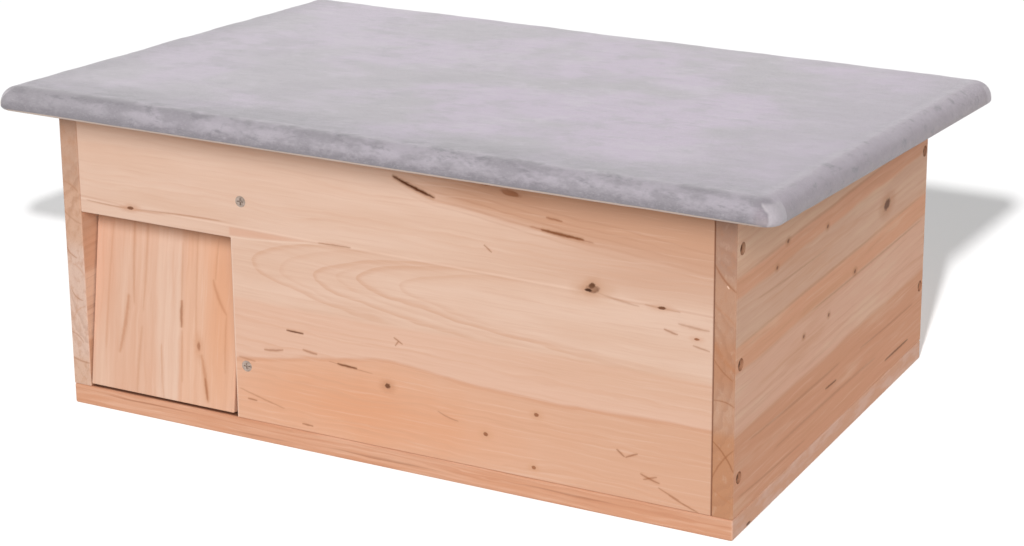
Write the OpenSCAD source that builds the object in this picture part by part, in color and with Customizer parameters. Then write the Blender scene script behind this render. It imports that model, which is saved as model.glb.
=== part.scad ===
// Wooden hedgehog house with a swinging entrance flap and a felt-covered roof that lifts open.
// The front is -Y, left and right are as seen from the front, and the house stands on Z = 0.
// The origin is on the ground, under the middle of the roof.

/* [House body] */
// Width of the house across its front
body_w = 490; // [440:1:560]
// Depth of the house from its front face to its back face
body_d = 337; // [290:1:380]
// Height of the front wall's top edge
front_h = 211.5; // [200:0.5:240]
// Height of the back wall's top edge
back_h = 188; // [175:0.5:195]
// Thickness of the wall boards
wall_t = 14; // [12:0.5:18]
// Thickness of the floor board
floor_t = 14; // [10:0.5:20]

/* [Entrance] */
// Width of the entrance, from the left side panel to the cut edge of the front panel
entrance_w = 119.5; // [105:0.5:140]
// Height of the entrance above the floor board
entrance_h = 126; // [105:0.5:135]

/* [Entrance flap] */
// Thickness of the flap board
flap_t = 14; // [10:0.5:16]
// Gap between the flap and the left side panel
flap_gap_left = 0.9; // [0.5:0.1:3]
// Gap between the flap and the cut edge of the front panel
flap_gap_right = 2.6; // [0.5:0.1:5]
// Gap between the flap's lowest arris and the floor board
flap_gap_floor = 0.4; // [0.3:0.1:3]
// Height of the flap's hinge axis above the top edge of the entrance
flap_axis_rise = 9; // [6:0.5:14]
// Distance of the flap's front face behind its hinge axis
flap_set_back = 3.2; // [2.5:0.1:4]

/* [Partition] */
// Thickness of the partition board
partition_t = 14; // [12:0.5:18]
// Distance of the partition from the cut edge of the front panel
partition_offset = 2; // [0:0.5:10]
// Gap between the partition's top edge and the roof board
partition_top_gap = 1; // [0.5:0.5:5]
// Width of the doorway at the back end of the partition
doorway_w = 120; // [100:1:150]
// Height of the doorway above the floor board
doorway_h = 126; // [105:0.5:130]

/* [Roof] */
// Thickness of the roof board
roof_board_t = 12.5; // [10:0.5:18]
// Thickness of the roofing felt
felt_t = 1.5; // [1:0.1:2.5]
// Overhang of the roof past each side
roof_side = 33; // [24:1:60]
// Overhang of the roof past the front
roof_front = 25; // [24:1:60]
// Overhang of the roof past the back
roof_back = 41; // [38:1:70]
// Radius of the rounding along the roof's top edges, over the felt
roof_edge_round = 12; // [8:0.5:13]
// Radius of the rounding along the roof's lower edges, over the felt
roof_foot_round = 2.5; // [2.5:0.1:3]
// Width of the felt strip that is turned under the roof board
felt_turn = 18; // [16:0.5:19]
// Gap between the roof board and the wall tops
lid_gap = 0.3; // [0.2:0.1:1]

/* [Flap hinges] */
// Length of a flap hinge along its pin
flap_hinge_l = 30; // [24:1:40]
// Width of a flap hinge's leaf, from its axis
flap_leaf_w = 16; // [14:0.5:17]
// Thickness of a flap hinge's leaf
flap_leaf_t = 1; // [0.8:0.1:1.1]
// Distance of a flap hinge's axis from the wood that its leaves lie on
flap_hinge_off = 2.2; // [2.1:0.1:2.6]
// Radius of a flap hinge's pin
flap_pin_r = 0.9; // [0.7:0.05:1]
// Distance of a flap hinge's middle from the end of the flap
flap_hinge_inset = 24; // [21:1:30]
// Distance of a flap hinge's screws from its middle
flap_hinge_screw_x = 9.5; // [8.5:0.1:9.6]

/* [Roof hinges] */
// Length of a roof hinge along its pin
roof_hinge_l = 50; // [40:1:70]
// Width of a roof hinge's leaf, from its axis
roof_leaf_w = 15.5; // [14:0.5:16]
// Thickness of a roof hinge's leaf
roof_leaf_t = 1.2; // [1:0.1:1.5]
// Distance of a roof hinge's axis from the wood that its leaves lie on
roof_hinge_off = 3; // [2.9:0.1:3.4]
// Radius of a roof hinge's pin
roof_pin_r = 1.2; // [0.9:0.05:1.3]
// Distance of a roof hinge's middle from the side of the house
roof_hinge_inset = 90; // [60:1:120]
// Distance of a roof hinge's screws from its middle
roof_hinge_screw_x = 16; // [12:0.5:17]

/* [Hinge fits] */
// Gap between a knuckle and the wood or the knuckle beside it
knuckle_gap = 0.3; // [0.2:0.05:0.5]
// Clearance of a hinge pin in the moving leaf's knuckle, on the radius
pin_clear = 0.05; // [0.02:0.01:0.1]

/* [Board screws] */
// Radius of a board screw's shank
screw_r = 1.75; // [1.5:0.05:2.25]
// Radius of a board screw's head
screw_head_r = 3.8; // [3.2:0.1:4.5]
// Length of a board screw
screw_l = 38; // [30:1:45]
// Depth of the side screws' heads below the side panels' faces
side_screw_sink = 1.6; // [0:0.1:3]
// Depth of the floor screws' heads below the floor board's underside
floor_screw_sink = 1; // [0.5:0.1:3]
// Clearance around every screw and staple
fastener_clear = 0.05; // [0.02:0.01:0.2]
// Distance of the front column of side screws from the front face
front_screw_inset = 8.5; // [6:0.5:9]
// Distance of the back column of side screws from the back face
back_screw_inset = 6; // [6:0.5:9]
// Distance of the front column's top screw below the front wall's top edge
front_screw_drop = 26; // [20:1:60]
// Height of the front column's bottom screw above the floor board
front_screw_foot = 25; // [25:1:60]
// Distance of the back column's top screw below the back wall's top edge
back_screw_drop = 32; // [20:1:60]
// Height of the back column's bottom screw above the floor board
back_screw_foot = 42.5; // [25:0.5:60]
// Distance of the partition's top screw below the front wall's top edge
partition_screw_drop = 45.5; // [20:0.5:60]
// Height of the partition's bottom screw above the floor board
partition_screw_foot = 38; // [30:1:60]
// Distance of the partition's back screw below the back wall's top edge
partition_back_screw_drop = 22; // [12:1:30]
// Distance of the floor screws from the inner faces of the walls
floor_screw_inset = 45; // [42:1:60]
// Distance of a floor screw from the edge of the entrance or of the doorway
floor_screw_edge = 22; // [15:1:30]

/* [Hinge screws] */
// Radius of a hinge screw's shank
hinge_screw_r = 1.2; // [1:0.05:1.4]
// Radius of a hinge screw's head
hinge_screw_head_r = 2.1; // [1.8:0.05:2.3]
// Length of a hinge screw
hinge_screw_l = 10; // [7:0.5:11]

/* [Felt staples] */
// Length of a staple's crown
staple_crown = 10; // [8:0.5:12]
// Length of a staple's legs below the crown
staple_leg = 8; // [5:0.5:9]
// Thickness of the staple wire
staple_wire = 0.7; // [0.5:0.1:1]
// Distance of the staples from the roof's edge
staple_inset = 13; // [12:0.5:14]
// Distance of the first staple in a row from the corner where two rows would meet
staple_corner = 20; // [12:1:40]
// Spacing of the staples, at most
staple_pitch = 95; // [60:5:150]

/* [Hidden] */

$fn = 48;
cut = 1;
roof_slope = (front_h - back_h) / body_d;
roof_pitch = atan(roof_slope);
roof_run = body_d / cos(roof_pitch);
roof_mid = (roof_run + roof_back - roof_front) / 2;
front_y = -roof_mid * cos(roof_pitch) - (lid_gap + roof_board_t / 2) * sin(roof_pitch);
back_y = front_y + body_d;
left_x = -body_w / 2;
right_x = body_w / 2;

entrance_x0 = left_x + wall_t;
entrance_x1 = entrance_x0 + entrance_w;
entrance_top = floor_t + entrance_h;
partition_x0 = entrance_x1 + partition_offset;
partition_x = partition_x0 + partition_t / 2;
doorway_y0 = back_y - wall_t - doorway_w;

// The flap hangs with its middle under its hinge axis, so its foot swings forward by this angle.
flap_axis_y = front_y + wall_t + flap_hinge_off;
flap_axis_z = entrance_top + flap_axis_rise;
flap_lean = atan((flap_set_back + flap_t / 2) / ((flap_axis_z - floor_t) / 2));
flap_back = flap_set_back + flap_t;
flap_reach = (flap_axis_z - floor_t - flap_gap_floor - flap_back * sin(flap_lean)) / cos(flap_lean);
flap_x0 = entrance_x0 + flap_gap_left;
flap_x1 = entrance_x1 - flap_gap_right;
flap_hinge_x = [flap_x0 + flap_hinge_inset, flap_x1 - flap_hinge_inset];
flap_screw_reach = flap_set_back + flap_t / 2;

// The roof board's underside is the roof frame's Z = 0, and the front face meets it at Y = 0.
roof_axis_y = back_y + roof_hinge_off;
roof_axis_z = back_h + lid_gap / cos(roof_pitch)
    - roof_hinge_off * (tan(roof_pitch) + 1 / cos(roof_pitch));
roof_hinge_x = [left_x + roof_hinge_inset, right_x - roof_hinge_inset];
roof_screw_reach = (roof_leaf_w + roof_hinge_off) / 2;

screw_tip = 7;
hinge_screw_tip = 3;
recess_w = 0.9;
recess_share = 1.2;
recess_d = 1;
floor_screw_count = 3;

wood_pale = "#e3c3a0";
wood_tan = "#c99c78";
wood_peach = "#dfb08c";
felt_grey = "#b6b2b6";
steel_grey = "#a9a9a6";

// Height of the wall tops at a distance y along the house
function wall_top(y) = front_h - (y - front_y) * roof_slope;

// Even steps from a to b, no longer than the longest step
function steps(a, b, longest) =
    let (n = max(1, ceil((b - a) / longest))) [for (i = [0:n]) a + (b - a) * i / n];

// A given number of even places from a to b
function places(a, b, n) = [for (i = [0:n - 1]) a + (b - a) * i / (n - 1)];

front_column_z = places(floor_t + front_screw_foot, front_h - front_screw_drop, 3);
lintel_column_z = [entrance_top + front_screw_inset, front_h - front_screw_drop];
back_column_z = [floor_t + back_screw_foot, back_h - back_screw_drop];
partition_screw_z = [floor_t + partition_screw_foot, front_h - partition_screw_drop];

// Shared shapes

// A board standing across X, cut to the slope of the roof, drop below the wall tops
module sloped_board(x0, x1, y0, y1, drop = 0) {
    translate([x0, 0, 0])
        rotate([90, 0, 90])
            linear_extrude(x1 - x0)
                polygon([[y0, floor_t], [y1, floor_t], [y1, wall_top(y1) - drop],
                         [y0, wall_top(y0) - drop]]);
}

// A countersunk screw along -Z with its head's face at Z = 0
module screw_form(l, r, head_r, tip, grow = 0) {
    rotate_extrude()
        polygon([[0, 0], [head_r + grow, 0], [r + grow, r - head_r], [r + grow, tip - l],
                 [0, -l - grow]]);
}

module screw(l, r, head_r, tip) {
    arm = recess_share * head_r;
    difference() {
        screw_form(l, r, head_r, tip);
        for (turn = [0, 90])
            rotate([0, 0, turn])
                translate([-arm / 2, -recess_w / 2, -recess_d])
                    cube([arm, recess_w, recess_d + cut]);
    }
}

module screw_hole(l, r, head_r, tip, sink) {
    screw_form(l, r, head_r, tip, fastener_clear);
    cylinder(h = sink + cut, r = head_r + fastener_clear);
}

module board_screw() {
    screw(screw_l, screw_r, screw_head_r, screw_tip);
}

module board_screw_hole(sink = 0) {
    screw_hole(screw_l, screw_r, screw_head_r, screw_tip, sink);
}

module hinge_screw() {
    screw(hinge_screw_l, hinge_screw_r, hinge_screw_head_r, hinge_screw_tip);
}

module hinge_screw_hole() {
    screw_hole(hinge_screw_l, hinge_screw_r, hinge_screw_head_r, hinge_screw_tip, 0);
}

// Places of the fasteners, each with its head's face at the child's Z = 0 and its tip along -Z

module at_side_columns(front_zs) {
    for (z = front_zs)
        translate([right_x - side_screw_sink, front_y + front_screw_inset, z])
            rotate([0, 90, 0])
                children();
    for (z = back_column_z)
        translate([right_x - side_screw_sink, back_y - back_screw_inset, z])
            rotate([0, 90, 0])
                children();
}

module at_right_side_screws() {
    at_side_columns(front_column_z)
        children();
}

// On the left the front panel has only its lintel beside the side panel
module at_left_side_screws() {
    mirror([1, 0, 0])
        at_side_columns(lintel_column_z)
            children();
}

module at_partition_front_screws() {
    for (z = partition_screw_z)
        translate([partition_x, front_y, z])
            rotate([90, 0, 0])
                children();
}

module at_partition_back_screw() {
    translate([partition_x, back_y, back_h - partition_back_screw_drop])
        rotate([-90, 0, 0])
            children();
}

module at_floor_screws() {
    wall_mid = wall_t / 2;
    inset = wall_t + floor_screw_inset;
    spots = concat(
        [for (x = places(entrance_x1 + floor_screw_edge, right_x - inset, floor_screw_count))
            [x, front_y + wall_mid]],
        [for (x = places(left_x + inset, right_x - inset, floor_screw_count))
            [x, back_y - wall_mid]],
        [for (x = [left_x + wall_mid, right_x - wall_mid],
              y = places(front_y + inset, back_y - inset, floor_screw_count))
            [x, y]],
        [for (y = [front_y + inset, doorway_y0 - floor_screw_edge])
            [partition_x, y]]
    );
    for (p = spots)
        translate([p[0], p[1], floor_screw_sink])
            rotate([180, 0, 0])
                children();
}

// Frames that turn with the flap and with the roof

module flap_frame() {
    translate([0, flap_axis_y, flap_axis_z])
        rotate([-flap_lean, 0, 0])
            children();
}

module roof_frame() {
    translate([0, front_y, front_h])
        rotate([-roof_pitch, 0, 0])
            translate([0, 0, lid_gap])
                children();
}

// Hinges: the axis is X, a leaf's wood face is at Z = -off, and the leaf runs along +Y

function knuckle_ends(l, outer) =
    let (third = l / 3)
    outer ? [[-l / 2, -third / 2 - knuckle_gap / 2], [third / 2 + knuckle_gap / 2, l / 2]]
          : [[-third / 2 + knuckle_gap / 2, third / 2 - knuckle_gap / 2]];

module along_x(x0, x1, r) {
    translate([x0, 0, 0])
        rotate([0, 90, 0])
            cylinder(h = x1 - x0, r = r);
}

module leaf_screw_spots(spread, off, t, reach) {
    for (side = [-1, 1])
        translate([side * spread, reach, t - off])
            children();
}

// A leaf with its knuckles at both ends holds the pin, and the other turns on it
module hinge_leaf(l, leaf_w, t, off, pin_r, spread, reach, outer) {
    knuckle_r = off - knuckle_gap;
    difference() {
        union() {
            translate([-l / 2, 0, -off])
                cube([l, leaf_w, t]);
            for (k = knuckle_ends(l, outer))
                along_x(k[0], k[1], knuckle_r);
        }
        for (k = knuckle_ends(l, !outer))
            translate([k[0] - knuckle_gap, -cut, -off - cut])
                cube([k[1] - k[0] + 2 * knuckle_gap, cut + off, off + knuckle_r + 2 * cut]);
        along_x(-l / 2 - cut, l / 2 + cut, pin_r + (outer ? 0 : pin_clear));
        leaf_screw_spots(spread, off, t, reach)
            hinge_screw_hole();
    }
}

module flap_leaf(outer) {
    hinge_leaf(flap_hinge_l, flap_leaf_w, flap_leaf_t, flap_hinge_off, flap_pin_r,
               flap_hinge_screw_x, flap_screw_reach, outer);
}

module roof_leaf(outer) {
    hinge_leaf(roof_hinge_l, roof_leaf_w, roof_leaf_t, roof_hinge_off, roof_pin_r,
               roof_hinge_screw_x, roof_screw_reach, outer);
}

// The flap's fixed leaves stand on the back of the lintel, and its moving leaves on the flap's end
module at_flap_fixed(x) {
    translate([x, flap_axis_y, flap_axis_z])
        mirror([0, 0, 1])
            rotate([-90, 0, 0])
                children();
}

module at_flap_moving(x) {
    flap_frame()
        translate([x, 0, 0])
            children();
}

// The roof's fixed leaves hang on the back panel, and its moving leaves lie under the roof board
module at_roof_fixed(x) {
    translate([x, roof_axis_y, roof_axis_z])
        rotate([-90, 0, 0])
            children();
}

module at_roof_moving(x) {
    translate([x, roof_axis_y, roof_axis_z])
        rotate([-roof_pitch, 0, 0])
            mirror([0, 0, 1])
                children();
}

module flap_leaf_screw_spots() {
    leaf_screw_spots(flap_hinge_screw_x, flap_hinge_off, flap_leaf_t, flap_screw_reach)
        children();
}

module roof_leaf_screw_spots() {
    leaf_screw_spots(roof_hinge_screw_x, roof_hinge_off, roof_leaf_t, roof_screw_reach)
        children();
}

// Roof covering

// The roof's edge in section, on the +X side of the Y axis: a broad round above and a small one below
module edge_section(grow) {
    top_r = roof_edge_round - felt_t + grow;
    foot_r = roof_foot_round - felt_t + grow;
    half_t = roof_board_t / 2 + grow;
    intersection() {
        translate([0, half_t - top_r])
            circle(r = top_r);
        translate([0, half_t - top_r])
            square([top_r, top_r]);
    }
    translate([0, foot_r - half_t])
        square([top_r, 2 * half_t - top_r - foot_r]);
    translate([0, -half_t])
        square([top_r - foot_r, foot_r]);
    translate([top_r - foot_r, foot_r - half_t])
        circle(r = foot_r);
}

// A slab with that section round all its edges and corners, centred on the origin
module soft_slab(w, d, grow) {
    r = roof_edge_round - felt_t + grow;
    t = roof_board_t + 2 * grow;
    half_x = w / 2 - r;
    half_y = d / 2 - r;
    translate([-half_x, -half_y, -t / 2])
        cube([2 * half_x, 2 * half_y, t]);
    for (turn = [0, 180])
        rotate([0, 0, turn]) {
            translate([half_x, half_y, 0])
                rotate([90, 0, 0])
                    linear_extrude(2 * half_y)
                        edge_section(grow);
            rotate([0, 0, 90])
                translate([half_y, half_x, 0])
                    rotate([90, 0, 0])
                        linear_extrude(2 * half_x)
                            edge_section(grow);
            translate([half_x, half_y, 0])
                rotate_extrude(angle = 90)
                    edge_section(grow);
            translate([-half_x, half_y, 0])
                rotate([0, 0, 90])
                    rotate_extrude(angle = 90)
                        edge_section(grow);
        }
}

module roof_slab(grow) {
    less = 2 * (felt_t - grow);
    translate([0, roof_mid, roof_board_t / 2])
        soft_slab(body_w + 2 * roof_side - less, roof_run + roof_front + roof_back - less, grow);
}

module staple(grow = 0) {
    half = staple_crown / 2;
    wire = staple_wire + 2 * grow;
    translate([-half - grow, -wire / 2, -staple_wire])
        cube([staple_crown + 2 * grow, wire, staple_wire + grow]);
    for (side = [-1, 1])
        translate([side * (half - staple_wire / 2) - wire / 2, -wire / 2, -staple_wire])
            cube([wire, wire, staple_leg + staple_wire + grow]);
}

module at_staples() {
    x0 = left_x - roof_side + staple_inset;
    x1 = right_x + roof_side - staple_inset;
    y0 = -roof_front + staple_inset;
    y1 = roof_run + roof_back - staple_inset;
    for (x = steps(x0 + staple_corner, x1 - staple_corner, staple_pitch), y = [y0, y1])
        translate([x, y, -felt_t])
            children();
    for (y = steps(y0 + staple_corner, y1 - staple_corner, staple_pitch), x = [x0, x1])
        translate([x, y, -felt_t])
            rotate([0, 0, 90])
                children();
}

// Sub-parts of the house

module floor_board() {
    color(wood_tan)
        difference() {
            translate([left_x, front_y, 0])
                cube([body_w, body_d, floor_t]);
            at_floor_screws()
                board_screw_hole(floor_screw_sink);
        }
}

module front_panel() {
    color(wood_pale)
        difference() {
            sloped_board(left_x + wall_t, right_x - wall_t, front_y, front_y + wall_t);
            translate([entrance_x0 - cut, front_y - cut, floor_t - cut])
                cube([entrance_w + cut, wall_t + 2 * cut, entrance_h + cut]);
            at_left_side_screws()
                board_screw_hole(side_screw_sink);
            at_right_side_screws()
                board_screw_hole(side_screw_sink);
            at_partition_front_screws()
                board_screw_hole();
            at_floor_screws()
                board_screw_hole(floor_screw_sink);
            for (x = flap_hinge_x)
                at_flap_fixed(x)
                    flap_leaf_screw_spots()
                        hinge_screw_hole();
        }
}

module back_panel() {
    color(wood_pale)
        difference() {
            sloped_board(left_x + wall_t, right_x - wall_t, back_y - wall_t, back_y);
            at_left_side_screws()
                board_screw_hole(side_screw_sink);
            at_right_side_screws()
                board_screw_hole(side_screw_sink);
            at_partition_back_screw()
                board_screw_hole();
            at_floor_screws()
                board_screw_hole(floor_screw_sink);
            for (x = roof_hinge_x)
                at_roof_fixed(x)
                    roof_leaf_screw_spots()
                        hinge_screw_hole();
        }
}

module left_side_panel() {
    color(wood_tan)
        difference() {
            sloped_board(left_x, left_x + wall_t, front_y, back_y);
            at_left_side_screws()
                board_screw_hole(side_screw_sink);
            at_floor_screws()
                board_screw_hole(floor_screw_sink);
        }
}

module right_side_panel() {
    color(wood_tan)
        difference() {
            sloped_board(right_x - wall_t, right_x, front_y, back_y);
            at_right_side_screws()
                board_screw_hole(side_screw_sink);
            at_floor_screws()
                board_screw_hole(floor_screw_sink);
        }
}

module partition() {
    color(wood_peach)
        difference() {
            sloped_board(partition_x0, partition_x0 + partition_t, front_y + wall_t,
                         back_y - wall_t, partition_top_gap);
            translate([partition_x0 - cut, doorway_y0, floor_t - cut])
                cube([partition_t + 2 * cut, doorway_w + cut, doorway_h + cut]);
            at_partition_front_screws()
                board_screw_hole();
            at_partition_back_screw()
                board_screw_hole();
            at_floor_screws()
                board_screw_hole(floor_screw_sink);
        }
}

module left_side_screws() {
    color(steel_grey)
        at_left_side_screws()
            board_screw();
}

module right_side_screws() {
    color(steel_grey)
        at_right_side_screws()
            board_screw();
}

module partition_front_screws() {
    color(steel_grey)
        at_partition_front_screws()
            board_screw();
}

module partition_back_screw() {
    color(steel_grey)
        at_partition_back_screw()
            board_screw();
}

module floor_screws() {
    color(steel_grey)
        at_floor_screws()
            board_screw();
}

// Sub-parts of the entrance flap

module entrance_flap() {
    color(wood_peach)
        difference() {
            flap_frame()
                translate([flap_x0, flap_set_back, -flap_reach])
                    cube([flap_x1 - flap_x0, flap_t, flap_reach - flap_hinge_off]);
            for (x = flap_hinge_x)
                at_flap_moving(x)
                    flap_leaf_screw_spots()
                        hinge_screw_hole();
        }
}

module flap_hinge_left_fixed_leaf() {
    color(steel_grey)
        at_flap_fixed(flap_hinge_x[0])
            flap_leaf(true);
}

module flap_hinge_right_fixed_leaf() {
    color(steel_grey)
        at_flap_fixed(flap_hinge_x[1])
            flap_leaf(true);
}

module flap_hinge_left_moving_leaf() {
    color(steel_grey)
        at_flap_moving(flap_hinge_x[0])
            flap_leaf(false);
}

module flap_hinge_right_moving_leaf() {
    color(steel_grey)
        at_flap_moving(flap_hinge_x[1])
            flap_leaf(false);
}

module flap_hinge_pin(x) {
    color(steel_grey)
        at_flap_fixed(x)
            along_x(-flap_hinge_l / 2, flap_hinge_l / 2, flap_pin_r);
}

module flap_hinge_left_pin() {
    flap_hinge_pin(flap_hinge_x[0]);
}

module flap_hinge_right_pin() {
    flap_hinge_pin(flap_hinge_x[1]);
}

module flap_hinge_fixed_screws() {
    color(steel_grey)
        for (x = flap_hinge_x)
            at_flap_fixed(x)
                flap_leaf_screw_spots()
                    hinge_screw();
}

module flap_hinge_moving_screws() {
    color(steel_grey)
        for (x = flap_hinge_x)
            at_flap_moving(x)
                flap_leaf_screw_spots()
                    hinge_screw();
}

// Sub-parts of the roof

module roof_board() {
    color(wood_pale)
        difference() {
            roof_frame()
                difference() {
                    roof_slab(0);
                    at_staples()
                        staple(fastener_clear);
                }
            for (x = roof_hinge_x)
                at_roof_moving(x)
                    roof_leaf_screw_spots()
                        hinge_screw_hole();
        }
}

module roof_felt() {
    color(felt_grey)
        roof_frame()
            difference() {
                roof_slab(felt_t);
                roof_slab(0);
                translate([left_x - roof_side + felt_turn, -roof_front + felt_turn, -felt_t - cut])
                    cube([body_w + 2 * (roof_side - felt_turn),
                          roof_run + roof_front + roof_back - 2 * felt_turn,
                          felt_t + cut + roof_board_t / 2]);
                at_staples()
                    staple(fastener_clear);
            }
}

module felt_staples() {
    color(steel_grey)
        roof_frame()
            at_staples()
                staple();
}

module roof_hinge_left_fixed_leaf() {
    color(steel_grey)
        at_roof_fixed(roof_hinge_x[0])
            roof_leaf(true);
}

module roof_hinge_right_fixed_leaf() {
    color(steel_grey)
        at_roof_fixed(roof_hinge_x[1])
            roof_leaf(true);
}

module roof_hinge_left_moving_leaf() {
    color(steel_grey)
        at_roof_moving(roof_hinge_x[0])
            roof_leaf(false);
}

module roof_hinge_right_moving_leaf() {
    color(steel_grey)
        at_roof_moving(roof_hinge_x[1])
            roof_leaf(false);
}

module roof_hinge_pin(x) {
    color(steel_grey)
        at_roof_fixed(x)
            along_x(-roof_hinge_l / 2, roof_hinge_l / 2, roof_pin_r);
}

module roof_hinge_left_pin() {
    roof_hinge_pin(roof_hinge_x[0]);
}

module roof_hinge_right_pin() {
    roof_hinge_pin(roof_hinge_x[1]);
}

module roof_hinge_fixed_screws() {
    color(steel_grey)
        for (x = roof_hinge_x)
            at_roof_fixed(x)
                roof_leaf_screw_spots()
                    hinge_screw();
}

module roof_hinge_moving_screws() {
    color(steel_grey)
        for (x = roof_hinge_x)
            at_roof_moving(x)
                roof_leaf_screw_spots()
                    hinge_screw();
}

floor_board();
front_panel();
back_panel();
left_side_panel();
right_side_panel();
partition();
left_side_screws();
right_side_screws();
partition_front_screws();
partition_back_screw();
floor_screws();
entrance_flap();
flap_hinge_left_fixed_leaf();
flap_hinge_right_fixed_leaf();
flap_hinge_left_moving_leaf();
flap_hinge_right_moving_leaf();
flap_hinge_left_pin();
flap_hinge_right_pin();
flap_hinge_fixed_screws();
flap_hinge_moving_screws();
roof_board();
roof_felt();
felt_staples();
roof_hinge_left_fixed_leaf();
roof_hinge_right_fixed_leaf();
roof_hinge_left_moving_leaf();
roof_hinge_right_moving_leaf();
roof_hinge_left_pin();
roof_hinge_right_pin();
roof_hinge_fixed_screws();
roof_hinge_moving_screws();
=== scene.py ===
import math
import bpy
import bmesh
import numpy as np
from mathutils import Matrix, Vector


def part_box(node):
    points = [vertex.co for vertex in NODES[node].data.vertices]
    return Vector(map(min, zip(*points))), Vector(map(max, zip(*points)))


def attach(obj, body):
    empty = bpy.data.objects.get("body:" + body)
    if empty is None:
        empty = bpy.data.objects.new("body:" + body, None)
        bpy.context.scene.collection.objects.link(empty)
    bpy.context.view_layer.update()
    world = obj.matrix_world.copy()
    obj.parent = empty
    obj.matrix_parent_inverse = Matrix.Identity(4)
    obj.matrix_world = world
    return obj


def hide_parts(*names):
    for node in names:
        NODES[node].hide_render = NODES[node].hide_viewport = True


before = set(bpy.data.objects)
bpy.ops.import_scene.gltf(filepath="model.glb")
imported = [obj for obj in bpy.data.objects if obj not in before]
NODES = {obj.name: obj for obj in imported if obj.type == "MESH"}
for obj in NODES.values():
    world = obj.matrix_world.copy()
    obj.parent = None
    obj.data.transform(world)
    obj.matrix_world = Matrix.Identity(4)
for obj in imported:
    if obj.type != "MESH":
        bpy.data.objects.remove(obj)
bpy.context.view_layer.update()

MM = 0.001

# Sizes in mm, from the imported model
def box_mm(node):
    low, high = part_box(node)
    return [v / MM for v in low], [v / MM for v in high]

FLOOR_LOW, FLOOR_HIGH = box_mm("floor_board")
LEFT, FRONT = FLOOR_LOW[:2]
RIGHT, BACK, FLOOR_T = FLOOR_HIGH
WALL_T = box_mm("left_side_panel")[1][0] - LEFT
FRONT_H = box_mm("front_panel")[1][2]
BACK_INSIDE_H = box_mm("back_panel")[1][2]
PITCH = math.atan((FRONT_H - BACK_INSIDE_H) / (BACK - WALL_T - FRONT))

# Sizes in mm that the boxes don't give
ENTRANCE_X = LEFT + WALL_T + 119.5
ENTRANCE_TOP = FLOOR_T + 126
FLAP_AXIS_RISE, FLAP_SET_BACK, FLAP_T = 9, 3.2, 14
FLAP_AXIS_Y, FLAP_AXIS_Z = FRONT + WALL_T + 2.2, ENTRANCE_TOP + FLAP_AXIS_RISE
FLAP_LEAN = math.atan((FLAP_SET_BACK + FLAP_T / 2) / ((FLAP_AXIS_Z - FLOOR_T) / 2))
SIDE_SCREWS = [(FRONT + 8.5, z) for z in (185.5, 112.25, 39)] + [(BACK - 6, z) for z in (156, 56.5)]

# Colours
# How much light the front, the right side and the top get
ON_FRONT, ON_RIGHT, ON_TOP = 1.0, 0.60, 1.08


def srgb(r, g, b):
    """A colour of the screen as the linear colour that shaders take."""
    linear = []
    for c in (r / 255, g / 255, b / 255):
        linear.append(c / 12.92 if c <= 0.04045 else ((c + 0.055) / 1.055) ** 2.4)
    return (*linear, 1.0)


def lit(r, g, b, light=ON_FRONT):
    """The colour that renders as (r, g, b) on a face that gets this much light."""
    return (*(min(c / light, 0.93) for c in srgb(r, g, b)[:3]), 1.0)


# The heart of a knot, and the soft edge of a streak
KNOT, HALO = srgb(98, 60, 42), (0.50, 0.22, 0.10, 1.0)

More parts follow.
